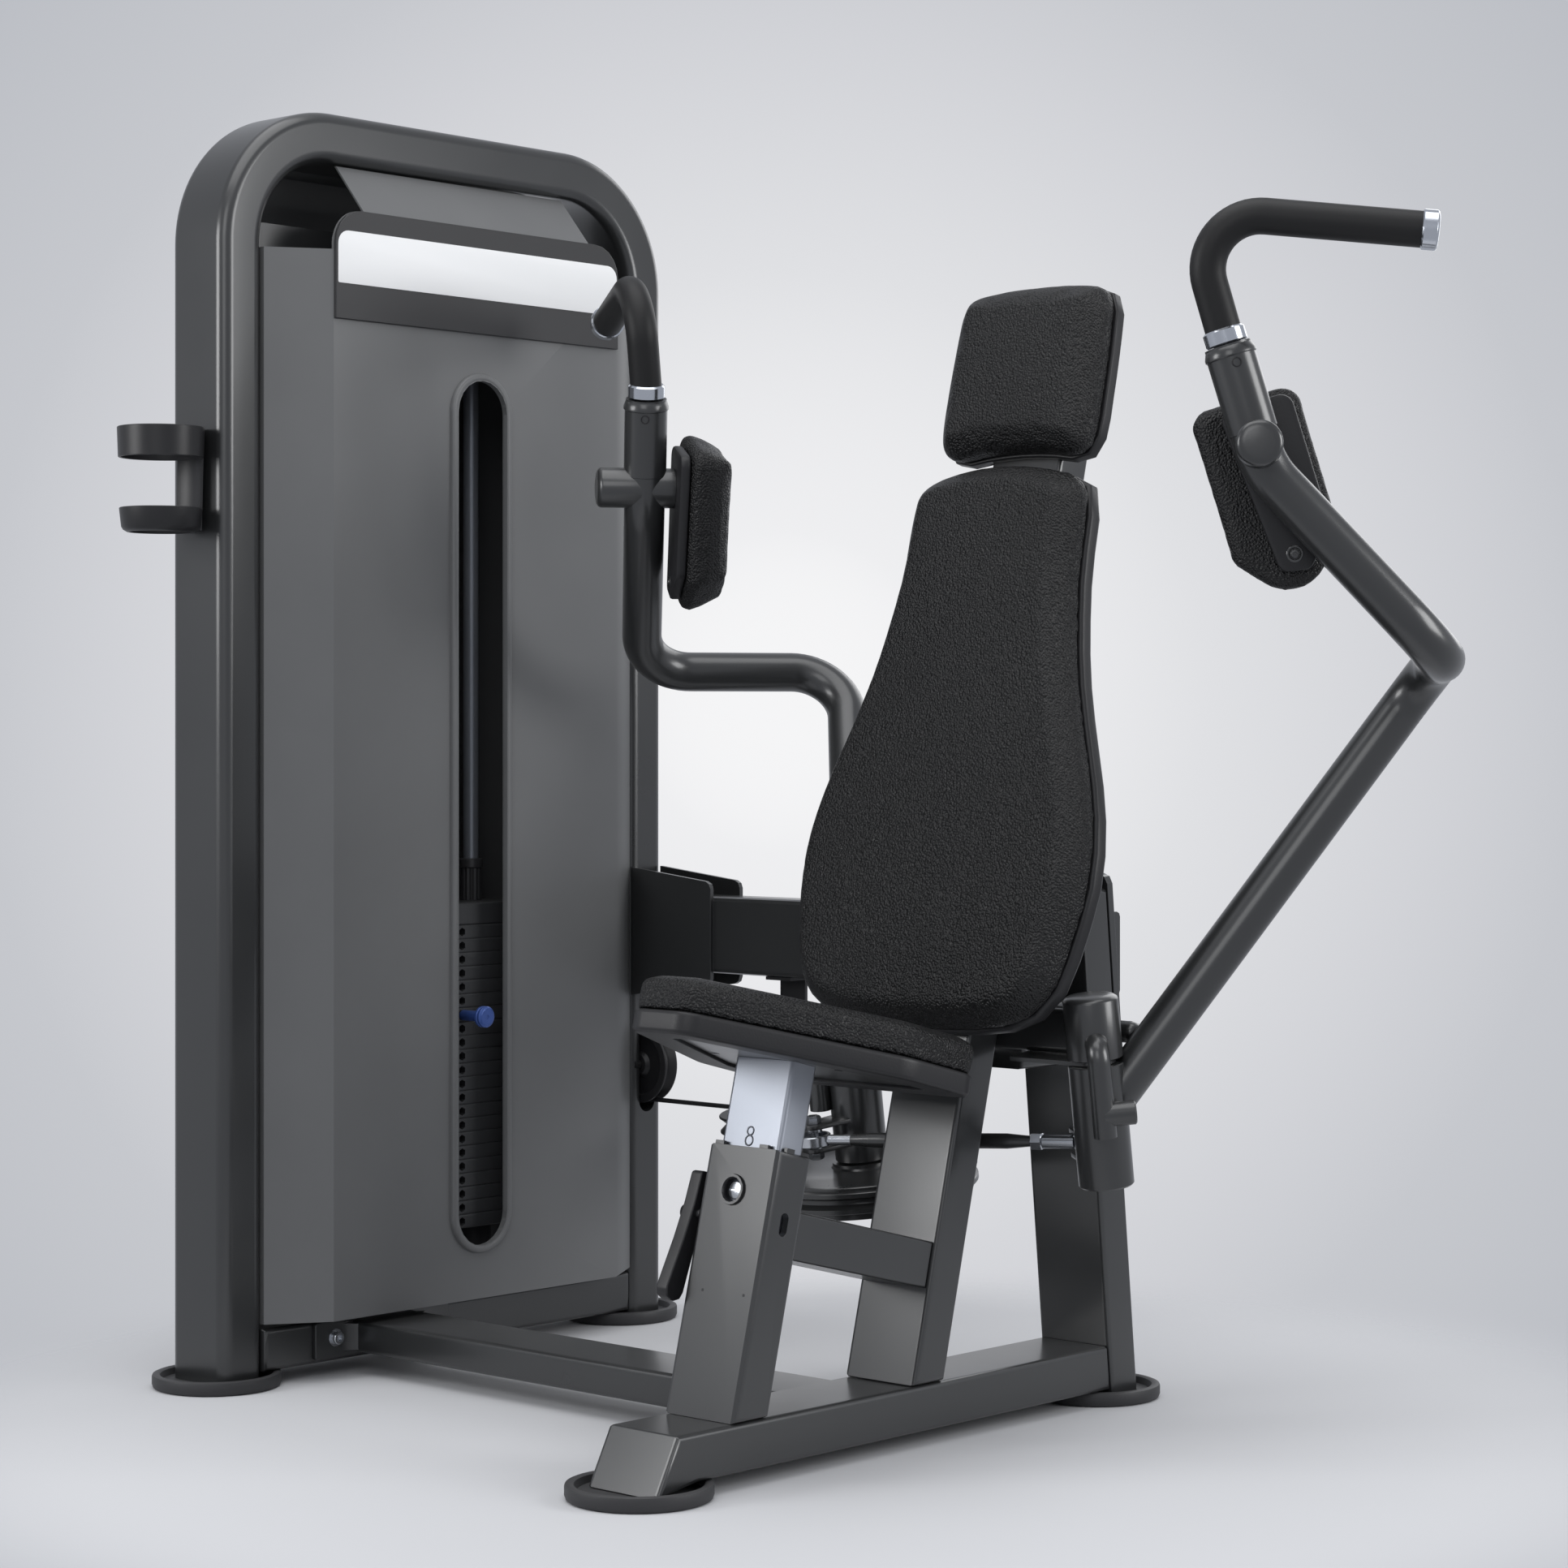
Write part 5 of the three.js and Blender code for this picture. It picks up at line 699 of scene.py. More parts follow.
corner_cuts = []
inner, outer = BOARD_HALF - BOARD_CORNER, BOARD_HALF + 4
for side in (-1, 1):
    rounded = arc((side * inner, BOARD_TOP - BOARD_CORNER), BOARD_CORNER, 0, QUARTER, (side, 0), (0, 1), 12)
    beyond = [(side * inner, BOARD_TOP + 3), (side * outer, BOARD_TOP + 3),
              (side * outer, BOARD_TOP - BOARD_CORNER)]
    cutter = np.concatenate([rounded, beyond])
    corner_cuts.append(drawn(cutter, SHROUD_FACE - 4, SHROUD_FACE + 4, FRONTAL, 0.01))
carve(front_sheet, "corner_cutter", corner_cuts, FOLD_SHARP)
lip = outline_of([(LIP_BACK, LIP_LOW, 1), (LIP_FRONT, LIP_LOW + LIP_RISE, 1),
                  (LIP_FRONT, LIP_LOW + LIP_RISE + LIP_THICK, 1), (LIP_BACK, LIP_LOW + LIP_THICK, 1)], 4)
make("rear_shroud_lip", [drawn(lip, -LIP_HALF, LIP_HALF, SIDEWAYS, 0.4)], shroud_paint)

# The radius stays just below the half width, so that the two arcs at an end don't meet in one point.
window = oblong(-WINDOW_HALF, WINDOW_LOW, WINDOW_HALF, WINDOW_HIGH, WINDOW_HALF * 0.999, 20)
rim = [np.column_stack([np.full(len(window), SHROUD_FACE + stand), inset(window, -outwards)])
       for outwards, stand in RIM_ROWS]
make("window_rim", [skin(rim, True)], shroud_paint, sharp=RIM_SHARP)
field = oblong(-FIELD_HALF, FIELD_LOW, FIELD_HALF, FIELD_HIGH, (2, 2, 16, 16))
make("placard_field", [drawn(field, BOARD_FACE - 0.2, BOARD_FACE + 0.5, FRONTAL, 0.2)], field_paint)

# Cup holder.
# Two rolled steel rings and a curved strip, welded and coated, on a small plate bolted to the near leg.
# The lower ring has a turned-in floor lip that holds a bottle.
CUP_PLACE = (-793, -412, 0)
CUP_RADIUS = 50
CUP_RING_LOW = 1080
CUP_TOP = 1115
CUP_LOW = 994
CUP_LIP = 1022
UPPER_RING = [
    (CUP_RADIUS - 4.2, CUP_RING_LOW + 0.6), (CUP_RADIUS - 3.6, CUP_RING_LOW),
    (CUP_RADIUS - 1.8, CUP_RING_LOW), (CUP_RADIUS - 1.2, CUP_RING_LOW + 0.6), (CUP_RADIUS, CUP_TOP - 0.8),
    (CUP_RADIUS - 0.8, CUP_TOP),
    (CUP_RADIUS - 2.2, CUP_TOP), (CUP_RADIUS - 3, CUP_TOP - 0.8)]
LOWER_RING = [
    (36, CUP_LOW), (38.6, CUP_LOW), (43.2, CUP_LOW + 2.6), (45.2, CUP_LOW + 6), (47.6, CUP_LIP - 0.8),
    (46.8, CUP_LIP), (45.4, CUP_LIP), (44.6, CUP_LIP - 0.8), (43.4, CUP_LOW + 7), (41.4, CUP_LOW + 4.4),
    (38, CUP_LOW + 3), (36, CUP_LOW + 3)]
STRIP_HALF = 24
STRIP_ROWS = [(44.6, CUP_LOW + 3), (47.2, CUP_LOW + 3), (CUP_RADIUS - 0.2, CUP_TOP),
              (CUP_RADIUS - 2.8, CUP_TOP)]
BRACKET_HALF = 12
BRACKET_FROM = 47
BRACKET_TO = 50.7

strip_sweep = math.asin(STRIP_HALF / CUP_RADIUS)
strip = [[np.array(CUP_PLACE) + [reach * math.cos(angle), reach * math.sin(angle), height]
          for reach, height in STRIP_ROWS]
         for angle in np.linspace(QUARTER - strip_sweep, QUARTER + strip_sweep, 17)]
bracket = oblong(-BRACKET_HALF, CUP_LOW + 6, BRACKET_HALF, CUP_TOP - 3, 3)
make("cup_holder_rings", [
    turned(UPPER_RING, CUP_PLACE, closed=True), turned(LOWER_RING, CUP_PLACE, closed=True), skin(strip),
    drawn(bracket, BRACKET_FROM, BRACKET_TO, SIDEWAYS, 0.6, CUP_PLACE)], black_plastic, node="cup_holder")

# Seat frame.
# Leaning posts of square tube on the base beam, braced and joined to the rear post and the yoke, all coated.
# The outer post has a plastic bush with a slotted screw, and a bare bolt holds the floor beam's T plate.
LEAN = math.radians(14.1)
LEAN_FOOT = np.array([0, -64, 67])
LEAN_UP = np.array([0, math.sin(LEAN), math.cos(LEAN)])
LEAN_AHEAD = np.array([0, -math.cos(LEAN), math.sin(LEAN)])
POST_FACE = 269.6
BUSH_AT = 166
BUSH_X = -6
BUSH_PROFILE = [(12.4, -5), (12.4, 1), (14, 2.2), (15.4, 2.2), (16.2, 1.2), (16.2, -5)]
SCREW_PROFILE = [(9.6, -7), (9.6, -4), (8.4, -3), (0.4, -2.6)]
TEE_BOLT = (-737.7, -198, 46)
TEE_PROFILE = [(9.5, 0), (10.5, 0.6), (10.5, 1.2), (7.6, 1.2), (7.6, 7.4), (6.8, 8.2), (4.2, 8.2), (4, 4)]
PINHOLES = ((-24.8, 60.9), (32.7, 61.3))
PINHOLE_SHADE_PROFILE = [(1.7, -0.6), (1.7, 0.1), (0.2, 0.12)]


def lean(x, ahead, up):
    """A point of the leaning frame: its foot, plus ahead along the forward axis and up along the post."""
    return LEAN_FOOT + np.array([x, 0, 0]) + LEAN_AHEAD * ahead + LEAN_UP * up


bare_steel = finish_of("bare_steel", (184, 187, 192), 0.24, metallic=0.95, grain=700, dust=0.0)
for node in ("seat_post_outer", "post_brace", "back_upright", "rear_post", "tie_beam"):
    from_node(node, frame_paint, bevel=EDGE_BREAK)
from_node("pivot_yoke", frame_paint)
from_node("redirect_bracket", black_plastic, bevel=0.0006)

bush_place = lean(BUSH_X, POST_FACE, BUSH_AT)
make("post_bush", [turned(BUSH_PROFILE, bush_place, LEAN_AHEAD, closed=True)], black_plastic)
screw = make("post_screw", [turned(SCREW_PROFILE, bush_place, LEAN_AHEAD)], bare_steel)
screw_slot = oblong(-8, -1, 8, 1, 0.3, 2)
carve(screw, "screw_cutter", [drawn(screw_slot, -4.4, 1, (X_AXIS, LEAN_UP, LEAN_AHEAD), 0.1, bush_place)])
make("tee_bolt", [turned(TEE_PROFILE, TEE_BOLT, X_AXIS, 32)], bare_steel)
# Black discs on the post face stand for its two pin holes: painted shade for the dark inside of the holes.
make("post_pinhole_shade", [turned(PINHOLE_SHADE_PROFILE, lean(x, POST_FACE, up), LEAN_AHEAD, 16) for x, up in PINHOLES],
     black_plastic)

# Sliding seat post, seat plate and lever.
# A satin aluminium extrusion slides in the outer post and carries a pressed steel plate under the seat.
# Its front is engraved with a plain numeral, and a black plastic lever frees it.
ENGRAVED_FACE = 262.1
ENGRAVED_AT = 223.5
ENGRAVED_X = -2.1
ENGRAVED_LINE = 0.9
# The numeral is two circles: each has its height above the middle and its radius.
ENGRAVED_CIRCLES = ((-5.0, 5.2), (4.9, 4.3))

aluminium = finish_of("aluminium", (160, 164, 172), 0.42, metallic=1.0, drift=0.05, grain=1400, strength=0.05,
                      dust=0.0)
from_node("seat_post_inner", aluminium, "seat")
from_node("seat_plate", frame_paint, "seat")
from_node("seat_lever", black_plastic, "seat_lever")
# The numeral's lines are a darker metal that stands in for its engraved grooves: painted shade for the shade
# inside the grooves.
engraving_shade = finish_of("engraving_shade", (104, 107, 113), 0.4, metallic=0.8, dust=0.0)
circles = [arc(lean(ENGRAVED_X, ENGRAVED_FACE, ENGRAVED_AT + rise), radius, 0, 2 * math.pi, X_AXIS, LEAN_UP,
               24) for rise, radius in ENGRAVED_CIRCLES]
make("post_numeral", [along(circle, ENGRAVED_LINE, LEAN_AHEAD) for circle in circles], engraving_shade, "seat")

# Moulded shells.
# Black ABS shells under the seat and behind the back pad, head pad and arm pads, vacuum formed.
# They have a fine leathery mould texture, and screws hold the cushions through them.
plastic = finish_of("plastic", (33, 33, 35), 0.42, grain=420, strength=0.3, depth=0.0004, dust=0.05,
                    shine=0.35)
from_node("seat_board", plastic, "seat", bevel=0.001)
from_node("backrest_board", plastic)
from_node("headrest_board", plastic)

# Swinging arms.
# Each arm is one bent tube welded to a split pivot tube, with a bridging rod, a clevis and a pad peg, coated.
# The two halves of the pivot turn on the yoke's shaft, and the sleeve's chamfered collar holds the grip.
ARM_SIDES = ((1, "right"), (-1, "left"))
PIVOT_X = 175
PIVOT_RADIUS = 30
LOWER_PIVOT = [(PIVOT_RADIUS - 6, -54), (PIVOT_RADIUS - 2, -53.6), (PIVOT_RADIUS, -51.6), (PIVOT_RADIUS, 79),
               (PIVOT_RADIUS - 1, 80), (20, 80)]
UPPER_PIVOT = [(20, 86.5), (PIVOT_RADIUS - 1, 86.5), (PIVOT_RADIUS, 87.5), (PIVOT_RADIUS, 148.8),
               (PIVOT_RADIUS - 1.2, 151), (PIVOT_RADIUS - 5, 153.6), (18, 155), (8, 155.6)]
TUBE_RADIUS = 24
ARM_CORNERS = [(182, 107, 369), (425, 362, 838), (570, 147, 838), (440, 22, 1028), (412, -3, 1152)]
ARM_BENDS = [62, 70, 90]
SLEEVE_RADIUS = 25
SLEEVE_FROM = 0.3
COLLAR_RADIUS = 26.5
COLLAR_HIGH = 12
PEG_PLACE = (434.7, 18.4, 1050)
PEG_RADIUS = 23.5
PEG_REACH = 54
PAD_MOUNT = 33
PEG_PROFILE = [(PEG_RADIUS, PAD_MOUNT - 0.3), (PEG_RADIUS, -PEG_REACH + 1), (PEG_RADIUS - 0.6, -PEG_REACH),
               (PEG_RADIUS - 1.4, -PEG_REACH - 1.6), (PEG_RADIUS - 4, -PEG_REACH - 3.2),
               (PEG_RADIUS - 9, -PEG_REACH - 4), (2, -PEG_REACH - 4)]
FACING = (-0.59, 0.81, 0)
TIE_HEIGHT = -16
# Each crank has its length and its angle.
CRANKS = {1: (54.4, math.radians(149.4)), -1: (62, math.radians(257.6))}
CRANK_HALF = 14
CRANK_GAP = 22
CRANK_PLATE = 5
CRANK_BOLT = 4.5
BOLT_HEAD = [(8.2, 15.6), (9, 16.4), (9, 23), (7.6, 25)]
WASHER = [(9, 6.3), (9, 11.4)]
BRIDGE_RADIUS = 12.5
BRIDGE_OUT = 41
BRIDGE_IN = 25
BRIDGE_ANGLE = math.radians(-47)
BRIDGE_FOOT = 8
BRIDGE_HEAD = 107
BRIDGE_BEND = 20
LUG_RADIUS = 13
LUG_HEIGHT = 32
LUG_LENGTH = 34.5
LUG_PROFILE = [(LUG_RADIUS, 0), (LUG_RADIUS, LUG_LENGTH - 1.5), (LUG_RADIUS - 1.5, LUG_LENGTH),
               (3, LUG_LENGTH)]
BUTTON_AT = 0.78
BUTTON_WAY = np.array([0.68, -0.73, 0])
BUTTON_SHADE_PROFILE = [(5.2, -2), (5.2, 0.5), (4.2, 0.7), (3.4, -0.6), (0.3, -0.2)]


def mirrored(point, side):
    """A point of the right arm, or its mirror image on the left."""
    return np.asarray(point, float) * [side, 1, 1]


def pivoted(side, a, b, height):
    """A point in a pivot's own frame: a along X, b backwards, height up the leaning shaft."""
    return np.array([side * PIVOT_X + a, 100, 330]) + BACKWARDS * b + PIVOT_AXIS * height


def arm_top(side):
    """The top of an arm's tube, and the way that the tube climbs there."""
    top = mirrored(ARM_CORNERS[4], side)
    return top, unit(top - mirrored(ARM_CORNERS[3], side))


for side, name in ARM_SIDES:
    body = f"arm_{name}"
    pivot = pivoted(side, 0, 0, 0)
    out = np.array([side * math.cos(BRIDGE_ANGLE), math.sin(BRIDGE_ANGLE)])
    bridge_path = bent([pivoted(side, *(out * reach), height) for reach, height in (
        (BRIDGE_OUT, BRIDGE_FOOT), (BRIDGE_OUT, BRIDGE_HEAD), (BRIDGE_IN, BRIDGE_HEAD))], [BRIDGE_BEND], 12)
    lug_way = X_AXIS * np.array(-out[1] * side) + BACKWARDS * out[0] * side
    reach, angle = CRANKS[side]
    ahead = np.array(X_AXIS) * math.cos(angle) + BACKWARDS * math.sin(angle)
    sideways = BACKWARDS * math.cos(angle) - np.array(X_AXIS) * math.sin(angle)
    crank = outline_of([(4, -CRANK_HALF - 6, 2), (reach + CRANK_HALF, -CRANK_HALF, 11),
                        (reach + CRANK_HALF, CRANK_HALF, 11), (4, CRANK_HALF + 6, 2)], 10)
    clevis = [drawn(crank, low, low + CRANK_PLATE, (ahead, sideways, PIVOT_AXIS), 0.6, pivot)
              for low in (TIE_HEIGHT + CRANK_GAP / 2, TIE_HEIGHT - CRANK_GAP / 2 - CRANK_PLATE)]
    bar_path = bent([mirrored(corner, side) for corner in ARM_CORNERS], ARM_BENDS, 16)
    top, climb = arm_top(side)
    bend = mirrored(ARM_CORNERS[3], side)
    foot = bend + (top - bend) * SLEEVE_FROM
    long = float(np.linalg.norm(top - foot))
    collar = long - COLLAR_HIGH
    sleeve = [(TUBE_RADIUS - 0.3, 0), (SLEEVE_RADIUS, 0.8), (SLEEVE_RADIUS, collar - 0.6),
              (COLLAR_RADIUS - 0.8, collar - 0.6), (COLLAR_RADIUS, collar + 0.4), (COLLAR_RADIUS, collar + 3),
              (COLLAR_RADIUS - 3, long - 0.8), (COLLAR_RADIUS - 4, long), (15, long)]
    make(f"{body}_weldment", [
        turned(LOWER_PIVOT, pivot, PIVOT_AXIS), turned(UPPER_PIVOT, pivot, PIVOT_AXIS),
        along(bridge_path, BRIDGE_RADIUS, (0.2, 0.9, 0.1)),
        turned(LUG_PROFILE, pivoted(side, *(out * BRIDGE_OUT), LUG_HEIGHT), lug_way, 40), *clevis,
        along(bar_path, TUBE_RADIUS, (0.1, 0.2, 0.97)), turned(sleeve, foot, climb),
        turned(PEG_PROFILE, mirrored(PEG_PLACE, side), unit(mirrored(FACING, side)))],
        frame_paint, body, body)
    button_way = unit(BUTTON_WAY - climb * (climb @ BUTTON_WAY))
    button_place = foot + climb * long * BUTTON_AT + button_way * (SLEEVE_RADIUS - 0.1)
    # The sleeve's spring button is a black moulded disc with a raised ring; its black is painted shade for
    # the hole that the button sits in.
    make(f"sleeve_button_shade_{name}", [turned(BUTTON_SHADE_PROFILE, button_place, button_way, 32)], black_plastic, body)
    pin_at = pivot + ahead * reach + PIVOT_AXIS * TIE_HEIGHT
    bolts = [turned(both_ends([(CRANK_BOLT, -25)]), pin_at, PIVOT_AXIS, 24)]
    for way in (1, -1):
        bolts.append(turned(BOLT_HEAD, pin_at, PIVOT_AXIS * way, 6))
        bolts.append(turned(WASHER, pin_at, PIVOT_AXIS * way, 32))
    make(f"crank_bolt_{name}", bolts, bare_steel, body)

# Grips.
# A grained rubber sleeve on each bent steel tube, held between two polished end rings.
# The stem runs down into the arm's collar.
GRIP_CORNER = (390, -39, 1287)
GRIP_END = (589, 106, 1262)
GRIP_BEND = 52
GRIP_RADIUS = 18.4
RING_RADIUS = 21.5
RING_HIGH = 16
RING_PROFILE = [
    (GRIP_RADIUS - 1, 0.4), (RING_RADIUS - 1.6, 0), (RING_RADIUS, 1.6), (RING_RADIUS, RING_HIGH - 2),
    (RING_RADIUS - 2, RING_HIGH), (GRIP_RADIUS - 1, RING_HIGH)]
CAP_PROFILE = [
    (GRIP_RADIUS - 1, 0), (RING_RADIUS - 2.4, 0), (RING_RADIUS - 1, 1.4), (RING_RADIUS - 1, RING_HIGH - 1.6),
    (RING_RADIUS - 2.6, RING_HIGH), (RING_RADIUS - 6, RING_HIGH + 0.9), (3, RING_HIGH + 1)]
STEM_PROFILE = [(14, -30), (14, 9)]

grip_rubber = finish_of("grip_rubber", (25, 25, 26), 0.5, grain=500, strength=0.2, depth=0.0004, dust=0.03,
                        shine=0.3)
for side, name in ARM_SIDES:
    top, climb = arm_top(side)
    foot = top + climb
    end = mirrored(GRIP_END, side)
    corner = mirrored(GRIP_CORNER, side)
    outwards = unit(end - corner)
    grip_path = bent([foot + climb * RING_HIGH / 2, corner, end], [GRIP_BEND], 18)
    make(f"grip_{name}_rubber", [along(grip_path, GRIP_RADIUS, (0.05, 0.9, 0.4)),
                                 turned(STEM_PROFILE, top, climb)],
         grip_rubber, f"arm_{name}", f"grip_{name}")
    make(f"grip_rings_{name}", [turned(RING_PROFILE, foot, climb),
                                turned(CAP_PROFILE, end - outwards * RING_HIGH, outwards)],
         rod_steel, f"arm_{name}")

# Cable wheel and tie rod.
# The turned wheel under the left pivot winds the cable in its groove, coated as the frame.
# The tie rod has a swaged neck, a jam nut and an eye at each end, and joins the two cranks.
WHEEL_RIM = 131
WHEEL_LOW = -94
WHEEL_TOP = -54
WHEEL_BOSS = 34
WHEEL_PROFILE = [
    (20, WHEEL_LOW), (WHEEL_RIM - 7, WHEEL_LOW), (WHEEL_RIM - 6, WHEEL_LOW + 1),
    (WHEEL_RIM - 6, WHEEL_LOW + 7.4), (WHEEL_RIM - 0.8, WHEEL_LOW + 8), (WHEEL_RIM, WHEEL_LOW + 8.8),
    (WHEEL_RIM, WHEEL_GROOVE - 6.4),
    (121.7, WHEEL_GROOVE - 2.6), (121, WHEEL_GROOVE), (121.7, WHEEL_GROOVE + 2.6),
    (WHEEL_RIM, WHEEL_GROOVE + 6.4), (WHEEL_RIM, WHEEL_TOP - 8.8), (WHEEL_RIM - 0.8, WHEEL_TOP - 8),
    (WHEEL_RIM - 6, WHEEL_TOP - 7.4),
    (WHEEL_RIM - 6, WHEEL_TOP - 4), (WHEEL_RIM - 7, WHEEL_TOP - 3), (WHEEL_RIM - 12, WHEEL_TOP - 3),
    (WHEEL_RIM - 17, WHEEL_TOP - 6), (WHEEL_BOSS + 2, WHEEL_TOP - 6), (WHEEL_BOSS, WHEEL_TOP - 4),
    (WHEEL_BOSS, WHEEL_TOP - 0.4), (10, WHEEL_TOP - 0.4)]
TIE_LENGTH = 325
TIE_ANGLE = math.radians(17.45)
LEFT_EYE = 19.6
LEFT_BORE = 16.3
RIGHT_EYE = 12
RIGHT_BORE = 4.8
NECK = [(8, 11), (8, 47), (6.6, 48.4)]
JAM_NUT = [(8.6, 48), (10, 49), (10, 60.6), (8.6, 61.6)]
SWAGED_ROD = [(5.4, 61.6), (6, 62.2), (6.4, 68), (8.5, 90), (8.5, 250), (6.4, 272), (6.2, 278)]
LEFT_NECK = [(6, TIE_LENGTH - 47), (6, TIE_LENGTH - LEFT_EYE + 1)]


def eye(bore, radius):
    """The profile of a rod end's eye, 12 high, with both its outer edges chamfered."""
    return both_ends([(bore, -6), (radius - 0.8, -6), (radius, -5.2)])


make("cable_wheel_turned", [turned(WHEEL_PROFILE, pivoted(-1, 0, 0, 0), PIVOT_AXIS, 128)], frame_paint,
     "arm_left", "cable_wheel")
crank_reach, crank_angle = CRANKS[1]
tie_way = -np.array(X_AXIS) * math.cos(TIE_ANGLE) - BACKWARDS * math.sin(TIE_ANGLE)
tie_start = pivoted(1, crank_reach * math.cos(crank_angle), crank_reach * math.sin(crank_angle), TIE_HEIGHT)
make("tie_rod_ends", [
    turned(eye(RIGHT_BORE, RIGHT_EYE), tie_start, PIVOT_AXIS, 40, True),
    turned(eye(LEFT_BORE, LEFT_EYE), tie_start + tie_way * TIE_LENGTH, PIVOT_AXIS, 56, True),
    turned(NECK, tie_start, tie_way, 32), turned(JAM_NUT, tie_start, tie_way, 6),
    turned(LEFT_NECK, tie_start, tie_way, 32)], bare_steel, "tie_rod", "tie_rod")
make("tie_rod_swaged", [turned(SWAGED_ROD, tie_start, tie_way, 40)], frame_paint, "tie_rod")

# Arm pad boards.
# Each arm's peg carries a narrow moulded black board, screwed to the peg and to the cushion.
# The cushion's shield outline, with its pointed lower end, stands out all round it.
ARM_BOARD = [(-28, 48, 14), (-14, -126, 12), (16, -132, 12), (48, -96, 16), (48, 48, 14)]
BOARD_THICK = 12
PAD_SCREW = (5, -112)
PAD_SCREW_PROFILE = [(8.6, -2), (8.6, 0.3), (8, 0.8), (6.6, 0.8), (6, 0), (4.4, 0), (4.4, 1.2), (3.8, 1.8),
                     (2, 1.9), (1.8, 0.6), (0.2, 0.6)]


def pad_frame(side):
    """The origin of an arm pad, and its axes: across it, up it, and out of its face."""
    facing = unit(mirrored(FACING, side))
    across = unit(np.cross(facing, arm_top(side)[1]))
    return mirrored(PEG_PLACE, side), (across, np.cross(across, facing), facing)


board_outline = outline_of(ARM_BOARD, 8)
for side, name in ARM_SIDES:
    origin, axes = pad_frame(side)
    board = drawn(board_outline, PAD_MOUNT, PAD_MOUNT + BOARD_THICK, axes, 3, origin)
    make(f"pad_board_{name}_moulding", [board], plastic, f"arm_{name}", f"pad_board_{name}")
    screw_at = origin + axes[0] * PAD_SCREW[0] + axes[1] * PAD_SCREW[1] + axes[2] * PAD_MOUNT
    make(f"pad_screw_{name}", [turned(PAD_SCREW_PROFILE, screw_at, -axes[2], 36)], frame_paint, f"arm_{name}")

# Cushions.
# Foam blocks with a bevelled edge, pulled over with black pebble grained upholstery, stapled to their boards.
# Each starts as a slightly smaller form, is filled by a cloth simulation, and is capped close to its outline.
SEAT_CORNERS = [(-152, 90, 30), (152, 90, 30), (152, 205, 60), (38, 428, 28), (-38, 428, 28), (-152, 205, 60)]
ARM_PAD = [(-59, 58, 22), (-59, -104, 22), (0, -170, 44), (59, -104, 22), (59, 58, 22)]
BACK_EDGE = [(0, 0), (0.36, 0.004), (0.63, 0.017), (0.8, 0.047), (0.9, 0.097), (0.948, 0.159), (1, 0.253),
             (0.983, 0.346), (0.908, 0.44), (0.803, 0.534), (0.713, 0.627), (0.653, 0.721), (0.613, 0.814),
             (0.603, 0.908), (0.575, 0.955), (0.45, 0.98), (0.22, 0.995), (0, 1)]
HEAD_EDGE = [(0, 0.035), (0.4, 0.025), (0.75, 0.005), (0.92, 0.04), (0.99, 0.13), (1, 0.4), (0.985, 0.7),
             (0.96, 0.86), (0.85, 0.96), (0.5, 0.99), (0, 1)]
# The back and head outlines have a half width, a lowest point and a height.
BACK_SPAN = (200.5, 378, 641)
HEAD_SPAN = (108, 1027, 205)
# Each cushion has the level of its board side and of its face.
SEAT_LEVELS = (325.3, 362)
BACK_LEVELS = (20.3, 59)
HEAD_LEVELS = (9.3, 48)
ARM_LEVELS = (45.3, 95.3)
PAD_WALL = 15
SEAT_WALL = 27
PAD_BEVEL = 22
ARM_BEVEL = 17.6
PAD_TUCK = 2.0
ARM_TUCK = 12
PAD_START = 1.2
PAD_CROWN = 1.5
PAD_CAP = 1.8
PAD_FADE = 0.012
PAD_FRAMES = 20
PAD_VOXEL = 0.004
BACK_VOXEL = 0.005
PAD_SHARP = math.radians(75)
CLOTH = {"quality": 3, "mass": 0.3, "tension_stiffness": 25, "compression_stiffness": 25,
         "shear_stiffness": 12, "bending_stiffness": 2, "use_pressure": True, "uniform_pressure_force": 4}
LEATHER_COLOUR = (24, 24, 25)
PEBBLE_SCALE = 400
WRINKLE_SCALE = 38
DRIFT_SCALE = 7
DRIFT_COLOUR = (0.72, 0.72, 0.74, 1)


def leather_of(name):
    """Pebble grained upholstery: round cells of a Voronoi field swell out of the surface between fine
    creases, a painted highlight lightens each cell's crown and a painted shade darkens the creases between
    them, and a slow noise varies their tone and gloss."""
    material, tree, shader = shaded(name)
    fill(shader, {"Specular IOR Level": 0.34})
    where = add(tree, "TexCoord")
    cells = add(tree, "TexVoronoi", {"Scale": PEBBLE_SCALE, "Smoothness": 0.35}, feature="SMOOTH_F1")
    wrinkles = add(tree, "TexNoise", {"Scale": WRINKLE_SCALE, "Detail": 5})
    slow = add(tree, "TexNoise", {"Scale": DRIFT_SCALE})
    pebbles = add(tree, "Bump", {"Strength": 1.0, "Distance": 0.0017}, invert=True)
    folds = add(tree, "Bump", {"Strength": 0.07, "Distance": 0.0015})
    # Painted highlight and painted shade: the cell distance lightens each pebble's crown and darkens the
    # creases between the pebbles.
    tone = add(tree, "ValToRGB")
    for step, place, share in zip(tone.color_ramp.elements, (0.1, 0.75), (1.25, 0.35)):
        step.position = place
        step.color = brightened(LEATHER_COLOUR, share)
    drift = add(tree, "Mix", {"B": DRIFT_COLOUR}, data_type="RGBA", blend_type="MULTIPLY")
    gloss = add(tree, "MapRange", {"To Min": 0.34, "To Max": 0.5})
    wire(tree, *((where, "Object", noise, "Vector") for noise in (cells, wrinkles, slow)),
         (cells, "Distance", pebbles, "Height"), (wrinkles, "Fac", folds, "Height"),
         (folds, "Normal", pebbles, "Normal"), (pebbles, "Normal", shader, "Normal"),
         (cells, "Distance", tone, "Fac"), (tone, "Color", drift, "A"), (slow, "Fac", drift, "Factor"),
         (drift, "Result", shader, "Base Color"), (slow, "Fac", gloss, "Value"),
         (gloss, "Result", shader, "Roughness"))
    return material


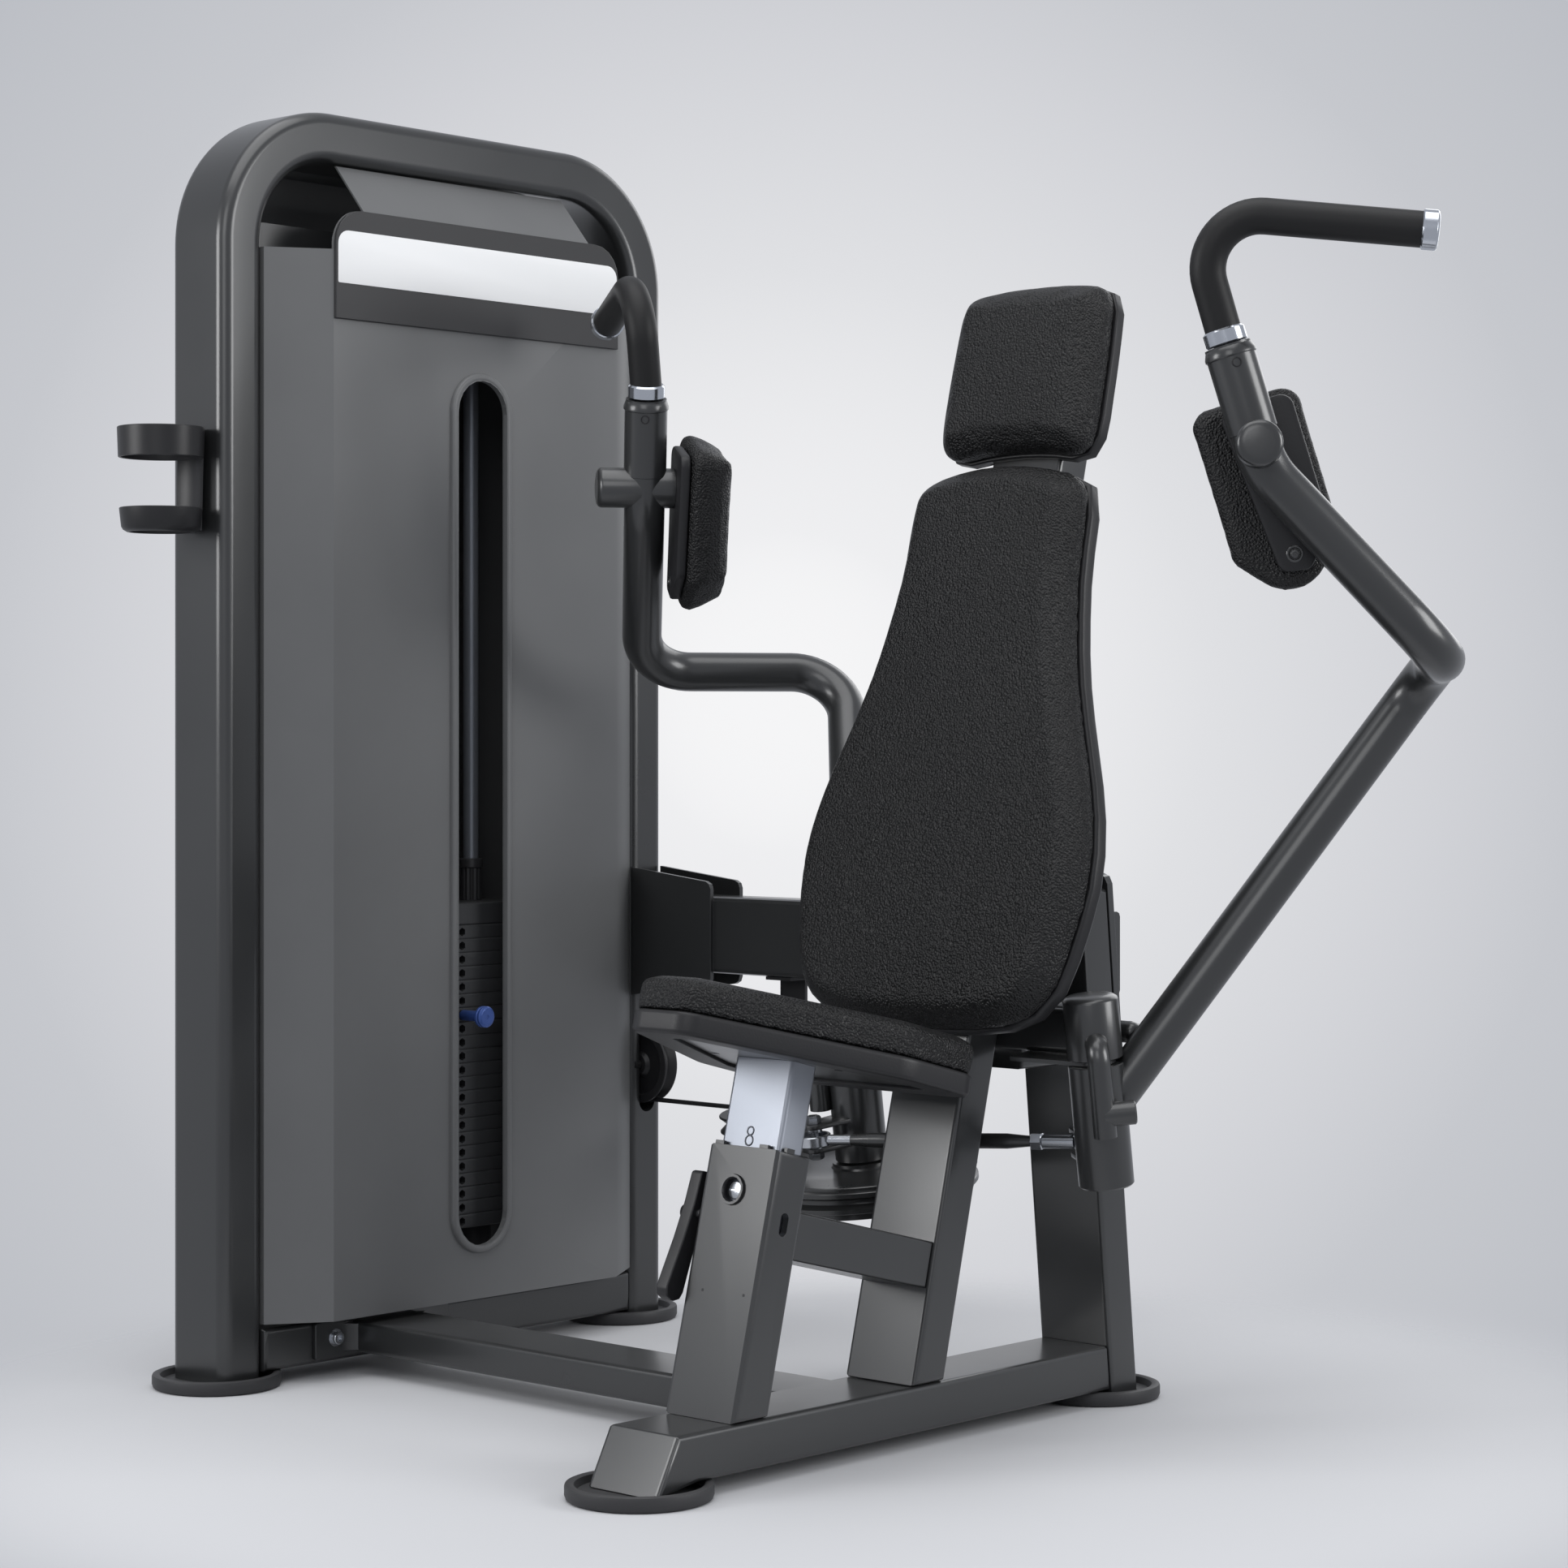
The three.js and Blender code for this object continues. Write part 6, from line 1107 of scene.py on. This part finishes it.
def edge_of(shares, half, low, high, count=120):
    """A closed smooth outline from the right half of its edge: the shares are scaled, mirrored to the left,
    joined by a closed Catmull-Rom curve and spaced evenly along it."""
    right = np.array(shares, float) * [half, high] + [0, low]
    knots = np.concatenate([right, right[-2:0:-1] * [-1, 1]])
    before, after, beyond = np.roll(knots, 1, 0), np.roll(knots, -1, 0), np.roll(knots, -2, 0)
    t = np.linspace(0, 1, 12, endpoint=False)[None, :, None]
    curve = 0.5 * (2 * knots[:, None] + (after - before)[:, None] * t
                   + (2 * before - 5 * knots + 4 * after - beyond)[:, None] * t ** 2
                   + (3 * knots - before - 3 * after + beyond)[:, None] * t ** 3)
    curve = curve.reshape(-1, 2)
    loop = np.concatenate([curve, curve[:1]])
    reach = np.concatenate([[0], np.cumsum(np.linalg.norm(np.diff(loop, axis=0), axis=1))])
    even = np.linspace(0, reach[-1], count, endpoint=False)
    return np.column_stack([np.interp(even, reach, loop[:, 0]), np.interp(even, reach, loop[:, 1])])


def foam(outline, low, wall, face, bevel, tuck, origin, axes):
    """A cushion's form: a ring tucked in at its board, a straight wall, a bevel to the face ring, and face
    rings that shrink towards the middle while they rise as a parabola to the crown."""
    middle = outline.mean(0)
    top = inset(outline, bevel)
    tucked = inset(outline, tuck)
    levels = [(middle + (tucked - middle) * share, low) for share in (0.2, 0.5, 0.8)]
    levels += [(tucked, low), (inset(outline, tuck * 0.3), low + wall / 4), (outline, low + wall * 2 / 3),
               (inset(outline, 0.6), low + wall * 0.94), (inset(outline, 1.8), low + wall + 0.8)]
    levels += [(inset(outline, bevel * share), low + wall + (face - low - wall) * share + 0.8)
               for share in (0.25, 0.5, 0.75)]
    levels.append((inset(outline, bevel * 0.94), face - 0.6))
    levels += [(middle + (top - middle) * share, face + PAD_CROWN * (1 - share ** 2))
               for share in (1, 0.96, 0.88, 0.76, 0.62, 0.46, 0.3, 0.14)]
    return placed(levels, origin, axes)


def points_of(mesh):
    """The places of a mesh's points, one row for each."""
    points = np.empty(len(mesh.vertices) * 3, np.float32)
    mesh.vertices.foreach_get("co", points)
    return points.reshape(-1, 3)


def upholster(name, outline, low, face, origin, axes, body, node, wall=PAD_WALL, bevel=PAD_BEVEL,
              tuck=PAD_TUCK, voxel=PAD_VOXEL):
    """A filled cushion: the form is remeshed, swelled by a cloth simulation with inner pressure, and each
    point keeps at most the cap of its movement, less near the board, where the movement fades to none."""
    form = foam(inset(outline, PAD_START), low, wall, face - PAD_START, bevel, tuck, origin, axes)
    piece = make(name, [form], leather, body, node, sharp=PAD_SHARP)
    modify(piece, "remesh", "REMESH", mode="VOXEL", voxel_size=voxel, use_smooth_shade=True)
    evaluated = piece.evaluated_get(bpy.context.evaluated_depsgraph_get())
    mesh = bpy.data.meshes.new_from_object(evaluated)
    piece.modifiers.clear()
    piece.data = mesh
    rest = points_of(mesh)
    filling = modify(piece, "filling", "CLOTH")
    for setting, value in CLOTH.items():
        setattr(filling.settings, setting, value)
    filling.settings.effector_weights.gravity = 0
    filling.collision_settings.use_collision = False
    filling.point_cache.frame_start = 1
    filling.point_cache.frame_end = PAD_FRAMES
    for number in range(1, PAD_FRAMES + 1):
        bpy.context.scene.frame_set(number)
    moved = points_of(piece.evaluated_get(bpy.context.evaluated_depsgraph_get()).data) - rest
    length = np.linalg.norm(moved, axis=1, keepdims=True)
    moved *= np.minimum(1, PAD_CAP / 1000 / np.maximum(length, 1e-9))
    start = (np.asarray(origin, float) + np.asarray(axes[2]) * low + DESIGN_SHIFT) / 1000
    share = np.clip((rest - start) @ np.asarray(axes[2]) / PAD_FADE, 0, 1)[:, None]
    filled = rest + moved * share * share * (3 - 2 * share)
    piece.modifiers.clear()
    mesh.vertices.foreach_set("co", filled.astype(np.float32).ravel())
    mesh.update()
    bpy.context.scene.frame_set(1)
    dressed(piece, leather, body, node, sharp=PAD_SHARP)
    modify(piece, "smooth", "SUBSURF", levels=1, render_levels=1)


leather = leather_of("leather")
back_axes = (X_AXIS, LEAN_UP, LEAN_AHEAD)
upholster("seat_cushion", outline_of(SEAT_CORNERS, 12), *SEAT_LEVELS, LEAN_FOOT,
          (X_AXIS, LEAN_AHEAD, LEAN_UP), "seat", "seat_pad", wall=SEAT_WALL)
upholster("back_cushion", edge_of(BACK_EDGE, *BACK_SPAN), *BACK_LEVELS, LEAN_FOOT, back_axes, "root",
          "backrest_pad", voxel=BACK_VOXEL)
upholster("head_cushion", edge_of(HEAD_EDGE, *HEAD_SPAN, 96), *HEAD_LEVELS, LEAN_FOOT, back_axes, "root",
          "headrest_pad")
for side, name in ARM_SIDES:
    upholster(f"arm_cushion_{name}", outline_of(ARM_PAD, 10), *ARM_LEVELS, *pad_frame(side), f"arm_{name}",
              f"pad_{name}", bevel=ARM_BEVEL, tuck=ARM_TUCK)
